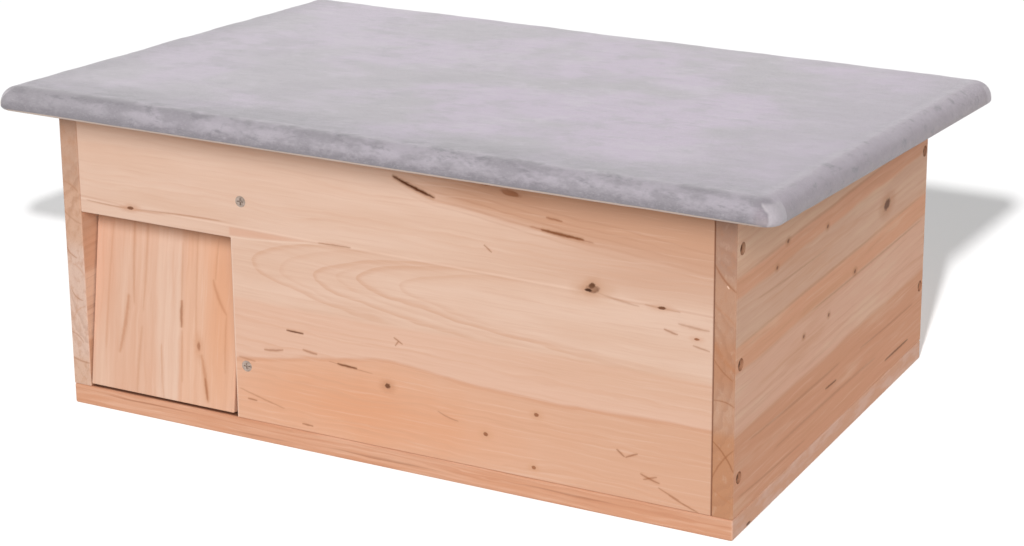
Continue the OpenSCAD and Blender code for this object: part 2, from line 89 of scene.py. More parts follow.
# Shader building
class Tree:
    """A material's nodes. Its colour is painted in layers, one over the other."""

    def __init__(self, name, light=ON_FRONT):
        self.mat = bpy.data.materials.new(name)
        self.mat.use_nodes = True
        self.nt = self.mat.node_tree
        self.nt.nodes.clear()
        self.out = self.nt.nodes.new("ShaderNodeOutputMaterial")
        self.light = light

    def put(self, socket, value):
        if isinstance(value, bpy.types.NodeSocket):
            self.nt.links.new(value, socket)
        elif value is not None:
            socket.default_value = value

    def node(self, kind, **values):
        """A new node with values on the inputs of these names, where _ stands for a space."""
        n = self.nt.nodes.new("ShaderNode" + kind)
        for name, value in values.items():
            self.put(n.inputs[name.replace("_", " ")], value)
        return n

    def math(self, op, *values):
        n = self.nt.nodes.new("ShaderNodeMath")
        if op != "ADD":
            n.operation = op
        for socket, value in zip(n.inputs, values):
            self.put(socket, value)
        return n.outputs[0]

    def chain(self, op, values):
        total = values[0]
        for value in values[1:]:
            total = self.math(op, total, value)
        return total

    def add(self, *values):
        return self.chain("ADD", values)

    def mul(self, *values):
        return self.chain("MULTIPLY", values)

    def highest(self, *values):
        return self.chain("MAXIMUM", values)

    def sub(self, a, b):
        return self.math("SUBTRACT", a, b)

    def hypot(self, a, b):
        return self.math("SQRT", self.add(self.mul(a, a), self.mul(b, b)))

    def vmath(self, op, a, b):
        n = self.nt.nodes.new("ShaderNodeVectorMath")
        n.operation = op
        self.put(n.inputs[0], a)
        self.put(n.inputs[1], b)
        return n.outputs[0]

    def split(self, vector):
        return self.node("SeparateXYZ", Vector=vector).outputs[:]

    def coords(self, origin=None, lean=0.0):
        """The place in mm, from an origin and in axes turned about x by lean."""
        place = self.nt.nodes.new("ShaderNodeTexCoord").outputs["Object"]
        if origin:
            place = self.vmath("SUBTRACT", place, [v * MM for v in origin])
        if lean:
            place = self.node("Mapping", Vector=place, Rotation=(lean, 0, 0)).outputs[0]
        return self.vmath("MULTIPLY", place, (1000, 1000, 1000))

    def noise(self, place, scale=1.0, detail=3.0, rough=0.6):
        return self.node("TexNoise", Vector=place, Scale=scale, Detail=detail, Roughness=rough).outputs[0]

    def cloud(self, places, scales, offset=None, detail=3.0, rough=0.6):
        """Noise over two or three places, each with its scale. The offset is added to the third."""
        parts = [self.mul(place, scale) for place, scale in zip(places, scales)]
        if len(parts) == 2:
            parts.append(offset)
        elif offset is not None:
            parts[2] = self.add(parts[2], offset)
        x, y, z = parts
        return self.noise(self.node("CombineXYZ", X=x, Y=y, Z=z).outputs[0], 1.0, detail, rough)

    def sway(self, *what):
        """The same noise, about nought."""
        return self.sub(self.cloud(*what), 0.5)

    def range(self, value, a, b, c=0.0, d=1.0, smooth=True):
        """c at a and d at b."""
        n = self.node("MapRange", Value=value)
        n.interpolation_type = "SMOOTHSTEP" if smooth else "LINEAR"
        for name, x in zip(("From Min", "From Max", "To Min", "To Max"), (a, b, c, d)):
            self.put(n.inputs[name], x)
        return n.outputs[0]

    def near(self, value, none, full):
        """1 where the value is closer to nought than full, and 0 where it is further than none."""
        return self.range(self.math("ABSOLUTE", value), none, full)

    def between(self, value, low, high, soft):
        return self.mul(self.range(self.sub(value, low), -soft, soft),
                        self.range(self.sub(high, value), -soft, soft))

    def mix(self, share, a, b):
        n = self.nt.nodes.new("ShaderNodeMix")
        n.data_type = "RGBA"
        n.clamp_factor = True
        for i, value in ((0, share), (6, a), (7, b)):
            self.put(n.inputs[i], value)
        return n.outputs[2]

    def tone(self, tone):
        """Three numbers are a colour as it renders in this tree's light."""
        return lit(*tone, self.light) if isinstance(tone, tuple) and len(tone) == 3 else tone

    def paint(self, tone, *covers):
        """Lay a tone over the colour so far, by the product of its covers."""
        self.color = self.mix(self.mul(*covers), self.color, self.tone(tone))

    def use(self, name, count, build, values):
        """One node that stands for a small net of them. The net is built once, under its name, with this
        many number inputs, by build(tree, *inputs), which gives its number outputs."""
        net = bpy.data.node_groups.get(name)
        if net is None:
            net = bpy.data.node_groups.new(name, "ShaderNodeTree")
            for i in range(count):
                net.interface.new_socket("in %d" % i, in_out="INPUT", socket_type="NodeSocketFloat")
            tree = Tree.__new__(Tree)
            tree.nt = net
            results = build(tree, *net.nodes.new("NodeGroupInput").outputs[:count])
            for i in range(len(results)):
                net.interface.new_socket("out %d" % i, in_out="OUTPUT", socket_type="NodeSocketFloat")
            for socket, result in zip(net.nodes.new("NodeGroupOutput").inputs, results):
                net.links.new(result, socket)
        n = self.nt.nodes.new("ShaderNodeGroup")
        n.node_tree = net
        for socket, value in zip(n.inputs, values):
            self.put(socket, value)
        return n.outputs

    def bump(self, height, strength, distance):
        return self.node("Bump", Height=height, Strength=strength, Distance=distance).outputs[0]

    def shader(self, rough, normal, **values):
        n = self.node("BsdfPrincipled", Base_Color=self.color, Roughness=rough, Normal=normal, **values)
        self.nt.links.new(n.outputs[0], self.out.inputs["Surface"])
        return self.mat

# Wood
class Wood(Tree):
    """Sawn and planed softwood. g runs along the grain, w across the board's width and d through
    its thickness, all in mm, so the ring pattern runs on round every arris to the end grain. The g of
    marks, knots and curves is counted from start. A board without axes gets its places by lay()."""

    def __init__(self, name, axes, seed, light=ON_FRONT, start=0.0):
        super().__init__(name, light)
        self.seed, self.start = seed, start
        if axes:
            parts = dict(zip("xyz", self.split(self.coords())))
            places = [parts[a] for a in axes]
            self.lay(places, places)

    def lay(self, places, rippled):
        """The places along, across and through the board, its fibres and the ripple of its grain."""
        self.g, self.w, self.d = places
        self.push = 0.0
        self.lumps = {}
        seed = self.seed
        self.ripple = self.mul(self.sway(rippled, (0.02, 0.09, 0.1), seed + 4, 2.0, 0.5), 3.4)
        self.fray = self.sway((self.g, self.w), (0.25, 0.6), seed, 2.0)
        self.coarse = self.cloud(places, (0.02, 1.1, 1.1), seed * 3)
        self.fine = self.cloud(places, (0.07, 4.2, 4.2), seed * 5, 2.0)

    def along(self, a, b, *to, smooth=True):
        return self.range(self.g, self.start + a, self.start + b, *to, smooth=smooth)

    def curve(self, *points):
        """A smooth height along g through these points, for growth lines that run across a board."""
        first, last, top = points[0][0], points[-1][0], 214
        n = self.node("ValToRGB", Fac=self.along(first, last, smooth=False))
        ramp = n.color_ramp
        ramp.interpolation = "B_SPLINE"
        while len(ramp.elements) < len(points):
            ramp.elements.new(0.5)
        for stop, (g, w) in zip(ramp.elements, points):
            stop.position = (g - first) / (last - first)
            stop.color = (w / top, w / top, w / top, 1)
        return self.mul(n.outputs[0], top)

    def knot_push(self, g0, w0, long, wide, amount):
        """The grain parts round a knot."""
        def build(t, g, w, push, x0, y0, ug, uw, amount):
            a, b = t.mul(t.sub(g, x0), ug), t.mul(t.sub(w, y0), uw)
            e = t.math("POWER", 2.718, t.mul(t.add(t.mul(a, a), t.mul(b, b)), -1.0))
            return (t.math("MULTIPLY_ADD", t.mul(b, e), amount, push),)

        values = (self.g, self.w, self.push, self.start + g0, w0, 1 / long, 1 / wide, amount)
        self.push = self.use("knot push", 8, build, values)[0]

    def ring_lines(self, field, sharp=0.8):
        """Early wood pale, late wood a thin darker line, and no two years alike."""
        part = self.math("FRACT", field)
        line = self.mul(self.range(part, 0.25, sharp), self.range(part, 0.97, 0.86))
        year = self.node("CombineXYZ", X=self.math("FLOOR", field), Y=self.seed, Z=0.0).outputs[0]
        return self.mul(line, self.range(self.noise(year, 0.37, 0.0, 0.5), 0.36, 0.66, 0.12, 1.0))

    def stains(self, marks):
        """Tapered dark streaks, each with a soft brown halo. A mark has the g and w of both its ends, its
        width, strength and tone, and how far it bows."""
        def build(t, g, w, fray, x0, y0, tx, ty, sx, sy, width, strength, bow):
            a, b = t.sub(g, x0), t.sub(w, y0)
            along = t.math("MULTIPLY_ADD", a, tx, t.mul(b, ty))
            across = t.math("MULTIPLY_ADD", a, sx, t.mul(b, sy))
            arch = t.highest(t.mul(along, t.sub(1.0, along)), 0.0)
            across = t.math("MULTIPLY_ADD", arch, bow, across)
            across = t.math("MULTIPLY_ADD", t.mul(fray, 0.7), width, across)
            inside = t.sub(t.mul(t.math("SQRT", arch), width), t.math("ABSOLUTE", across))
            share = t.math("DIVIDE", inside, width)
            gate = t.mul(t.range(arch, 0.0, 0.06), strength)
            return t.mul(t.range(share, -1.3, 0.3), gate, 0.42), t.mul(t.range(share, -0.45, 0.45), gate)

        for g0, w0, g1, w1, width, strength, tone, bow in marks:
            dx, dy = g1 - g0, w1 - w0
            length = math.hypot(dx, dy)
            tx, ty = dx / length, dy / length
            halo, core = self.use("streak", 12, build, (
                self.g, self.w, self.fray, self.start + g0, w0, tx / length, ty / length, -ty, tx, width,
                strength, bow * 4))
            self.paint(HALO, halo)
            self.paint(tone, core)

    def blot(self, g0, w0, long, wide, angle=0.0, rough=0.5, soft=0.5):
        """An irregular ellipse, full at its middle."""
        def build(t, g, w, lump, x0, y0, ug, uw, vg, vw, rough, soft):
            a, b = t.sub(g, x0), t.sub(w, y0)
            u = t.math("MULTIPLY_ADD", a, ug, t.mul(b, uw))
            v = t.math("MULTIPLY_ADD", a, vg, t.mul(b, vw))
            rho = t.math("MULTIPLY_ADD", lump, rough, t.hypot(u, v))
            return (t.range(rho, t.add(1.0, soft), t.sub(1.0, soft)),)

        k = 1.6 / 2 ** round(math.log2(max(long, wide)))
        if k not in self.lumps:
            self.lumps[k] = self.sway((self.g, self.w), (k, k), self.seed + 1, 2.0)
        c, s = math.cos(angle), math.sin(angle)
        return self.use("blot", 11, build, (
            self.g, self.w, self.lumps[k], self.start + g0, w0, c / long, s / long, -s / wide, c / wide,
            rough * 2, soft))[0]

    def knots(self, spots, around, small=0.85):
        """Knots with a soft stain around them. small is how strong the small ones are."""
        for g0, w0, long, wide in spots:
            self.paint(around, self.blot(g0, w0, long * 2.3, wide * 2.2, 0.0, 0.3, 0.7), 0.55)
            self.paint(KNOT, self.blot(g0, w0, long, wide, 0.2, 0.4, 0.35), 0.85 if long > 2 else small)

    def band(self, low, high, soft):
        """1 between low and high across the width, with wandering edges."""
        wander = self.mul(self.sway((self.g, self.w), (0.011, 0.03), self.seed + 9, 3.0, 0.55), 8.0)
        return self.between(self.add(self.w, wander), low, high, soft)

    def grains(self, grain, dark, dark_k, pale, pale_k, thin, thin_k):
        """Long dark and pale fibres, where the noise grain says, and thin dark ones."""
        self.paint(dark, self.range(grain, 0.50, 0.74, 0.0, dark_k))
        self.paint(pale, self.range(grain, 0.48, 0.28, 0.0, pale_k))
        self.paint(thin, self.range(self.fine, 0.52, 0.80, 0.0, thin_k))

    def finish(self, lines, bump):
        height = self.add(self.mul(lines, 0.35), self.mul(self.coarse, 0.5), self.mul(self.fine, 0.5))
        normal = self.bump(height, bump, 0.00035)
        return self.shader(self.range(self.fine, 0.3, 0.7, 0.56, 0.68), normal, Specular_IOR_Level=0.12)

# Light, camera and floor
# name, azimuth, elevation, strength, softness in degrees, and whether it lights the floor or the object
SUNS = [("key_light", 13, 29, 1.50, 34, False), ("side_light", 36, 26, 1.32, 34, False),
        ("back_light", 190, 24, 1.35, 50, False), ("left_light", 264, 15, 0.85, 50, False),
        ("floor_key_light", 13, 29, 3.50, 3.0, True), ("floor_side_light", 37, 26.5, 2.90, 1.6, True)]
SUN_DISTANCE = 3
AMBIENT = 0.10
FLOOR_RADIUS, FLOOR_SIDES, FLOOR_GAP = 6, 48, 0.0002
# The camera's turns in radians and place in metres, and its lens and the picture in pixels
AZIMUTH, ELEVATION, ROLL = 0.487985653, 0.300350772, -0.008601877
CAMERA_AT = Vector((0.814893844, -1.530411460, 0.701463698))
FOCAL, LENS_ROW, PICTURE_W, PICTURE_H = 2650.5211, 152, 1024, 546
SENSOR = 36


def two_looks(nt, kind, plain, pale, out):
    """Plain is how it lights the object, and pale is how the camera, mirrors and glass see it."""
    path = nt.nodes.new("ShaderNodeLightPath")
    seen = path.outputs["Is Camera Ray"]
    for ray in ("Is Glossy Ray", "Is Transmission Ray"):
        either = nt.nodes.new("ShaderNodeMath")
        either.operation = "MAXIMUM"
        nt.links.new(seen, either.inputs[0])
        nt.links.new(path.outputs[ray], either.inputs[1])
        seen = either.outputs[0]
    mix = nt.nodes.new("ShaderNodeMixShader")
    nt.links.new(seen, mix.inputs[0])
    for i, values in ((1, plain), (2, pale)):
        look = nt.nodes.new(kind)
        for name, value in values.items():
            look.inputs[name].default_value = value
        nt.links.new(look.outputs[0], mix.inputs[i])
    nt.links.new(mix.outputs[0], out.inputs["Surface"])


def make_studio(floor):
    scene = bpy.context.scene
    scene.view_settings.view_transform = "Standard"
    world = bpy.data.worlds.new("studio")
    scene.world = world
    world.use_nodes = True
    nt = world.node_tree
    nt.nodes.clear()
    white = (1, 1, 1, 1)
    two_looks(nt, "ShaderNodeBackground", {"Color": white, "Strength": AMBIENT},
              {"Color": white, "Strength": 1.0}, nt.nodes.new("ShaderNodeOutputWorld"))
    for name, azimuth, elevation, power, softness, for_floor in SUNS:
        data = bpy.data.lights.new(name, "SUN")
        data.energy = power
        data.angle = math.radians(softness)
        lamp = bpy.data.objects.new(name, data)
        a, e = math.radians(azimuth), math.radians(elevation)
        toward = Vector((math.sin(a) * math.cos(e), -math.cos(a) * math.cos(e), math.sin(e)))
        lamp.rotation_mode = "QUATERNION"
        lamp.rotation_quaternion = toward.to_track_quat("Z", "Y")
        lamp.location = toward * SUN_DISTANCE
        scene.collection.objects.link(lamp)
        receivers = bpy.data.collections.new(name + "_lights")
        receivers.objects.link(floor)
        receivers.collection_objects[0].light_linking.link_state = "INCLUDE" if for_floor else "EXCLUDE"
        lamp.light_linking.receiver_collection = receivers


def make_floor():
    t = Tree("studio_floor")
    two_looks(t.nt, "ShaderNodeBsdfDiffuse", {"Color": (0.42, 0.42, 0.42, 1)},
              {"Color": (0.98, 0.98, 0.98, 1)}, t.out)
    bm = bmesh.new()
    turns = [2 * math.pi * i / FLOOR_SIDES for i in range(FLOOR_SIDES)]
    bm.faces.new([bm.verts.new((FLOOR_RADIUS * math.cos(a), FLOOR_RADIUS * math.sin(a), -FLOOR_GAP))
                  for a in turns])
    mesh = bpy.data.meshes.new("studio_floor")
    bm.to_mesh(mesh)
    bm.free()
    floor = bpy.data.objects.new("studio_floor", mesh)
    mesh.materials.append(t.mat)
    bpy.context.scene.collection.objects.link(floor)
    return floor


def make_camera():
    forward = Vector((-math.sin(AZIMUTH) * math.cos(ELEVATION), math.cos(AZIMUTH) * math.cos(ELEVATION),
                      -math.sin(ELEVATION)))
    level = forward.cross(Vector((0, 0, 1))).normalized()
    upright = level.cross(forward)
    right = level * math.cos(ROLL) + upright * math.sin(ROLL)
    up = upright * math.cos(ROLL) - level * math.sin(ROLL)
    data = bpy.data.cameras.new("camera")
    data.sensor_fit = "HORIZONTAL"
    data.sensor_width = SENSOR
    data.lens = FOCAL / PICTURE_W * SENSOR
    data.shift_y = -(PICTURE_H / 2 - LENS_ROW) / PICTURE_W
    data.clip_start, data.clip_end = 0.05, 50
    camera = bpy.data.objects.new("camera", data)
    turned = Matrix((right, up, -forward)).transposed().to_4x4()
    turned.translation = CAMERA_AT
    camera.matrix_world = turned
    bpy.context.scene.collection.objects.link(camera)
    bpy.context.scene.camera = camera

# Pieces
def new_piece(name, bm, mat, body, nodes, smooth=False):
    mesh = bpy.data.meshes.new(name)
    bm.to_mesh(mesh)
    bm.free()
    for face in mesh.polygons:
        face.use_smooth = smooth
    mesh.materials.append(mat)
    ob = bpy.data.objects.new(name, mesh)
    bpy.context.scene.collection.objects.link(ob)
    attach(ob, body)
    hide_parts(*nodes)
    return ob


def board(node, body, mat, bevel=0.8):
    """The board as sawn, with its arrises eased by bevel. Screw holes keep their sharp rims."""
    flat, sharp_turn, shortest = math.radians(0.3), math.radians(40), 6.0 * MM
    bm = bmesh.new()
    bm.from_mesh(NODES[node].data)
    bmesh.ops.remove_doubles(bm, verts=bm.verts[:], dist=1e-6)
    if bevel:
        bmesh.ops.dissolve_limit(bm, angle_limit=flat, verts=bm.verts[:], edges=bm.edges[:])
        sharp = [e for e in bm.edges if e.is_manifold and e.calc_face_angle(0.0) > sharp_turn
                 and e.calc_length() > shortest]
        bmesh.ops.bevel(bm, geom=sharp, offset=bevel * MM, offset_type="OFFSET", segments=3,
                        profile=0.5, affect="EDGES", clamp_overlap=False)
    return new_piece(node + "_wood", bm, mat, body, [node])

# The woods of this house
def front_wood():
    """Horizontal grain. Two boards are glued edge to edge, and the lower one is cut near its pith."""
    t = Wood("front_panel_wood", "xzy", 11.0, start=LEFT)
    for x, z, long, wide, amount in (
            (396, 149, 34, 9, 3.0), (250, 57.7, 30, 8, 2.5), (55, 148.7, 40, 6, 2.0),
            (342, 199, 26, 6, 1.6), (321, 38, 24, 5, 1.4), (357, 58, 24, 5, 1.4)):
        t.knot_push(x, z, long, wide, amount / 3)
    x, z = t.g, t.w
    drift = t.sway((x, z), (0.012, 0.035), 3.0)
    bent = t.add(z, t.mul(drift, 7.0), t.mul(t.ripple, 0.6), t.push)
    t.color = lit(229, 195, 174)
    t.paint((224, 187, 164), t.range(t.cloud((x, z), (0.006, 0.04), 8.0), 0.35, 0.65))
    # more orange at the upper right, over a growth line
    line = t.curve((230, 206), (262, 196), (286, 188.5), (330, 183), (362, 179.5), (389, 176.5),
                   (433, 172.5), (480, 167))
    above = t.sub(bent, line)
    right_of = t.along(236, 320)
    t.paint((205, 157, 128), t.range(above, -6.0, 6.0), right_of, 0.95)
    for offset, k in ((5.0, 0.30), (9.5, 0.22), (14.0, 0.25), (-4.0, 0.18)):
        t.paint((184, 130, 100), t.near(t.sub(above, offset), 1.1, 0.1), right_of, k)
    t.paint((186, 130, 100), t.near(above, 1.6, 0.2), right_of, 0.36)
    # tan under the growth line, towards the right
    t.paint((209, 164, 138), t.along(300, 440), t.band(150, 182, 8), 0.66)
    # arches of the lower board, opening to the right
    arches = []
    for tip_x, tip_z, bend, soft, k in (
            (150, 127, 7.8, 2.0, 0.50), (197, 124.7, 6.0, 2.0, 0.55), (231, 128.7, 4.9, 2.2, 0.60),
            (172, 126, 7.0, 1.0, 0.22), (216, 127, 5.4, 1.0, 0.22), (262, 128, 4.5, 1.6, 0.30)):
        a = t.add(t.sub(x, LEFT + tip_x), t.mul(drift, 16.0))
        b = t.add(t.sub(z, tip_z), t.mul(drift, 9.0), t.mul(t.ripple, 0.8))
        slope = t.math("SQRT", t.add(t.mul(b, b, 4 / (bend * bend)), 1.0))
        inward = t.math("DIVIDE", t.sub(a, t.mul(b, b, 1 / bend)), slope)
        arches.append(t.mul(t.range(inward, -0.7, 0.2), t.range(inward, 3.0 + soft, 0.4),
                            t.range(a, 330.0, 90.0), k))
    inside = t.mul(t.range(z, 96, 104), t.range(z, 150, 146))
    t.paint((212, 165, 137), t.highest(*arches), inside)
    # pinkish band and the orange foot
    t.paint((226, 184, 160), t.range(t.sub(99, bent), -1.6, 2.0), 0.85)
    line = t.curve((100, 50), (135, 55), (213, 71), (250, 75), (300, 71), (367, 68), (420, 70), (490, 70))
    below = t.sub(line, bent)
    foot = t.range(below, -0.8, 1.8)
    t.paint(t.mix(t.along(190, 480), lit(226, 180, 152), lit(218, 170, 141)), foot, 0.95)
    t.paint((205, 146, 112), t.near(t.sub(below, 0.8), 2.4, 0.2), 0.45)
    t.paint((223, 160, 122), t.blot(233, 38, 85, 24, 0.04, 0.5, 0.9), foot, 0.8)
    t.paint((216, 171, 141), t.blot(420, 92, 80, 12, 0.0, 0.6, 0.9), 0.35)
    # fine growth lines, denser in the pinkish band and the foot
    rings = t.add(t.mul(t.add(bent, t.mul(drift, 10.0), t.mul(x, 0.012)), 1 / 5.2),
                  t.mul(t.cloud((x, z), (0.01, 0.05), 21.0, 2.0, 0.5), 1.2))
    lines = t.ring_lines(rings)
    dense = t.add(0.12, t.mul(t.range(z, 102, 94), 0.42), t.mul(t.range(z, 152, 168), 0.14))
    t.paint((214, 162, 131), lines, dense, 0.62)
    t.grains(t.cloud((x, bent), (0.014, 0.55), 31.0, rough=0.62), (208, 160, 132), 0.24,
             (238, 208, 188), 0.22, (200, 152, 124), 0.15)
    # joint between the two boards
    joint = t.sub(z, t.along(0, 490, 150.2, 144.0, smooth=False))
    t.paint((240, 208, 188), t.near(joint, 1.2, 0.2), t.range(drift, -0.12, 0.1, 0.10, 0.42))
    t.paint((200, 150, 122), t.near(t.add(joint, 1.4), 1.1, 0.2), t.range(drift, 0.1, -0.1, 0.06, 0.28))
    wedge_foot = t.along(134, 232, 141.5, 148.2)
    past_entrance = t.along(132, 134)
    t.paint((218, 168, 142), t.range(t.sub(t.add(z, t.mul(drift, 4.0)), wedge_foot), -1.2, 1.6),
            t.range(joint, 0.2, -2.4), t.along(228, 160), past_entrance, 0.6)
    t.paint((242, 214, 194), t.near(t.sub(t.sub(z, wedge_foot), -0.6), 1.0, 0.2), t.along(240, 215),
            past_entrance, 0.4)
    # wavy line over the entrance
    over = t.curve((14, 152), (45, 150), (62, 147), (90, 150), (130, 150.5), (150, 149))
    t.paint((196, 144, 114), t.near(t.sub(z, over), 1.3, 0.2), t.along(150, 120), 0.30)
    # painted warm shade at the top, under the roof's overhang
    t.paint((224, 164, 124), t.range(t.add(z, t.mul(drift, 8.0)), 196, 212, 0.0, 0.5))
    # streaks, dashes and knots
    brown, dark = (150, 92, 60), (88, 44, 20)
    t.stains([
        (256, 200.2, 288, 189.4, 2.1, 1.0, dark, 0.5), (360, 180.4, 391, 178.0, 1.7, 0.95, dark, 0.2),
        (352, 181.4, 398, 176.8, 1.2, 0.45, brown, 0.0), (364, 188.6, 376, 187.6, 1.2, 0.6, brown, 0.0),
        (200, 146.8, 226, 147.4, 1.0, 0.5, brown, 0.0), (398, 146.0, 428, 141.4, 1.2, 0.26, brown, 0.4),
        (156, 66.2, 172, 68.6, 1.4, 0.5, brown, 0.5), (186, 71.6, 198, 70.0, 1.3, 0.5, brown, 0.3),
        (135, 36, 172, 27, 1.0, 0.32, brown, 0.3), (136, 58, 150, 56.5, 1.2, 0.3, brown, 0.0),
        (174, 82.9, 188, 82.5, 1.1, 0.85, dark, 0.0), (212, 66.4, 228, 65.6, 1.3, 0.85, dark, 0.2),
        (205, 67, 240, 64, 0.7, 0.3, brown, 0.2), (142, 29.2, 150, 28.9, 1.0, 0.6, brown, 0.0),
        (184, 19.2, 193, 18.8, 1.0, 0.6, brown, 0.0), (378, 13.4, 386, 13, 1.0, 0.6, brown, 0.0),
        (447, 22.5, 468, 14.5, 0.9, 0.55, brown, 0.3), (440, 26, 455, 20, 0.8, 0.45, brown, 0.2),
        (412, 46, 418, 41.4, 1.0, 0.6, brown, 0.0), (418, 41.4, 427, 45.5, 1.0, 0.6, brown, 0.0),
        (428, 33, 442, 28.5, 1.2, 0.6, brown, 0.5), (430, 29, 440, 32.6, 0.9, 0.5, brown, 0.0),
        (286, 47.5, 302, 43, 0.8, 0.35, brown, 0.8), (321, 164.5, 327, 160, 0.9, 0.5, brown, 0.0),
        (255, 92, 262, 88, 0.9, 0.55, brown, 0.0), (259, 90, 256, 86, 0.8, 0.5, brown, 0.0),
        (443, 130.0, 453, 127.6, 1.2, 0.5, brown, 0.2), (452, 135, 474, 133.4, 1.4, 0.35, brown, 0.3),
        (430, 143.4, 455, 142.2, 1.0, 0.3, brown, 0.1), (462, 122.6, 474, 120.4, 1.0, 0.4, brown, 0.0),
        (18, 149.4, 56, 148.2, 0.8, 0.3, brown, 0.5), (58, 148.4, 128, 150.4, 0.8, 0.3, brown, -0.5)])
    for x0, z0, long, wide, angle, core, halo, k in (
            (340, 200.4, 7, 1.8, -0.12, (160, 104, 72), (200, 150, 120), 0.8),
            (322, 204.4, 5, 1.4, -0.1, (168, 112, 80), (200, 150, 120), 0.6),
            (396, 147.6, 4.2, 2.6, 0.12, (84, 50, 30), (206, 160, 130), 0.6),
            (395.4, 149.6, 2.2, 1.8, 0.6, (96, 60, 38), (200, 152, 122), 0.5),
            (393, 146.4, 2.4, 1.0, 0.0, (62, 34, 20), (190, 140, 110), 0.3),
            (250, 57.7, 1.9, 1.7, 0, (110, 68, 46), (202, 146, 112), 0.7),
            (55, 148.7, 2.5, 1.1, 0.1, (120, 76, 52), (204, 152, 122), 0.6),
            (321, 38, 1.6, 1.3, 0, (150, 96, 66), (212, 160, 126), 0.5),
            (357, 58, 1.6, 1.3, 0, (150, 96, 66), (212, 160, 126), 0.5),
            (355, 22, 1.5, 1.2, 0, (160, 106, 74), (212, 160, 126), 0.5),
            (465, 127, 1.6, 0.8, 0, brown, (214, 166, 138), 0.5),
            (442, 143, 2.6, 1.0, 0.1, (112, 68, 44), (210, 164, 136), 0.5)):
        t.paint(halo, t.blot(x0, z0, long * 2.8, wide * 2.4, angle, 0.3, 0.7), k)
        t.paint(core, t.blot(x0, z0, long, wide, angle, 0.4, 0.3), 0.92)
    # dark joints beside the side panel and over the floor board, and a paler arris beside the entrance
    right_end = RIGHT - WALL_T
    t.paint((126, 80, 56), t.range(x, right_end - 1.0, right_end - 0.3), 0.8)
    t.paint((168, 108, 78), t.range(z, FLOOR_T + 0.8, FLOOR_T + 0.3), 0.5)
    t.paint((246, 222, 204), t.range(x, ENTRANCE_X + 1.6, ENTRANCE_X + 0.4),
            t.range(z, ENTRANCE_TOP + 0.5, ENTRANCE_TOP - 0.5), 0.5)
    return t.finish(lines, 0.22)


def end_grain(t, at, faces, tone, pith, pitch, seed, bands=(), amount=1.0, marks=(), outer=0.0,
              light=ON_FRONT):
    """Across the end of a board: rings about a pith, in a darker and greyer tone. faces is +1 or -1 for
    the end at the high or low side of the grain axis. Marks are counted along d from outer."""
    here = t.range(t.mul(t.sub(t.g, at), faces), -0.9, -0.25)
    board_color, board_light, g, start = t.color, t.light, t.g, t.start
    t.light = light
    t.color = t.tone(tone)
    across = t.w, t.d
    radius = t.add(t.hypot(t.sub(t.w, pith[0]), t.sub(t.d, pith[1])),
                   t.mul(t.sway(across, (0.05, 0.07), seed), 16.0))
    for low, high, soft, band_tone, k in bands:
        t.paint(band_tone, t.band(low, high, soft), k)
    t.paint((158, 108, 82), t.ring_lines(t.mul(radius, 1 / pitch)), 0.30 * amount)
    patches = t.cloud(across, (0.14, 0.22), seed + 8)
    t.paint((190, 138, 106), t.range(patches, 0.48, 0.68, 0.0, 0.45 * amount))
    t.paint((212, 178, 156), t.range(patches, 0.46, 0.30, 0.0, 0.30 * amount))
    pores = t.cloud(across, (0.9, 1.1), seed + 5, 2.0)
    t.paint((166, 120, 96), t.range(pores, 0.5, 0.75, 0.0, 0.30 * amount))
    t.g, t.start = t.d, outer
    t.stains(marks)
    t.color = t.mix(here, board_color, t.color)
    t.light, t.g, t.start = board_light, g, start


def side_wood(name, inner, seed, light, ground, bands, marks, spots, front_tone, front_bands=(),
              screws=(), ends=(), outer=0.0):
    """Side panels: grain from front to back, in bands of tan and reddish boards. inner is the x of the
    pith and outer the x that the marks on the front end are counted from."""
    t = Wood(name, "yzx", seed, light, FRONT)
    y, z = t.g, t.w
    for y0, z0, long, wide in spots:
        t.knot_push(y0, z0, long * 5, wide * 4, wide * 0.8)
    drift = t.sway((y, z), (0.01, 0.03), seed)
    bent = t.add(z, t.mul(drift, 5.0), t.mul(t.ripple, 0.6), t.push)
    t.color = t.tone(ground)
    for low, high, tone in bands:
        t.paint(tone, t.between(bent, low, high, 2.6))
    zone = t.cloud((y, z), (0.008, 0.06), seed + 3)
    t.paint((176, 128, 98), t.range(zone, 0.5, 0.72, 0.0, 0.4))
    t.paint((206, 172, 148), t.range(zone, 0.48, 0.3, 0.0, 0.3))
    lines = t.ring_lines(t.add(t.mul(t.add(bent, t.mul(y, 0.02)), 1 / 6.3), t.mul(drift, 1.4)), 0.82)
    t.paint((170, 118, 90), lines, 0.20)
    t.grains(t.cloud((y, bent), (0.012, 0.42), seed + 31), (168, 120, 94), 0.28, (206, 170, 146), 0.26,
             (160, 114, 88), 0.16)
    t.stains(marks)
    t.knots(spots, (156, 106, 76), 0.62)
    # painted shade in and around the screw holes
    for y0, z0 in screws:
        t.paint(srgb(150, 108, 82), t.range(t.hypot(t.sub(y, y0), t.sub(z, z0)), 4.2, 3.9), 0.7)
    end_grain(t, FRONT, -1, front_tone, (105, inner), 7.5, seed, front_bands, 0.8, ends, outer)
    end_grain(t, BACK, 1, (200, 158, 130), (60, inner), 7.0, seed + 2)
    return t.finish(lines, 0.24)


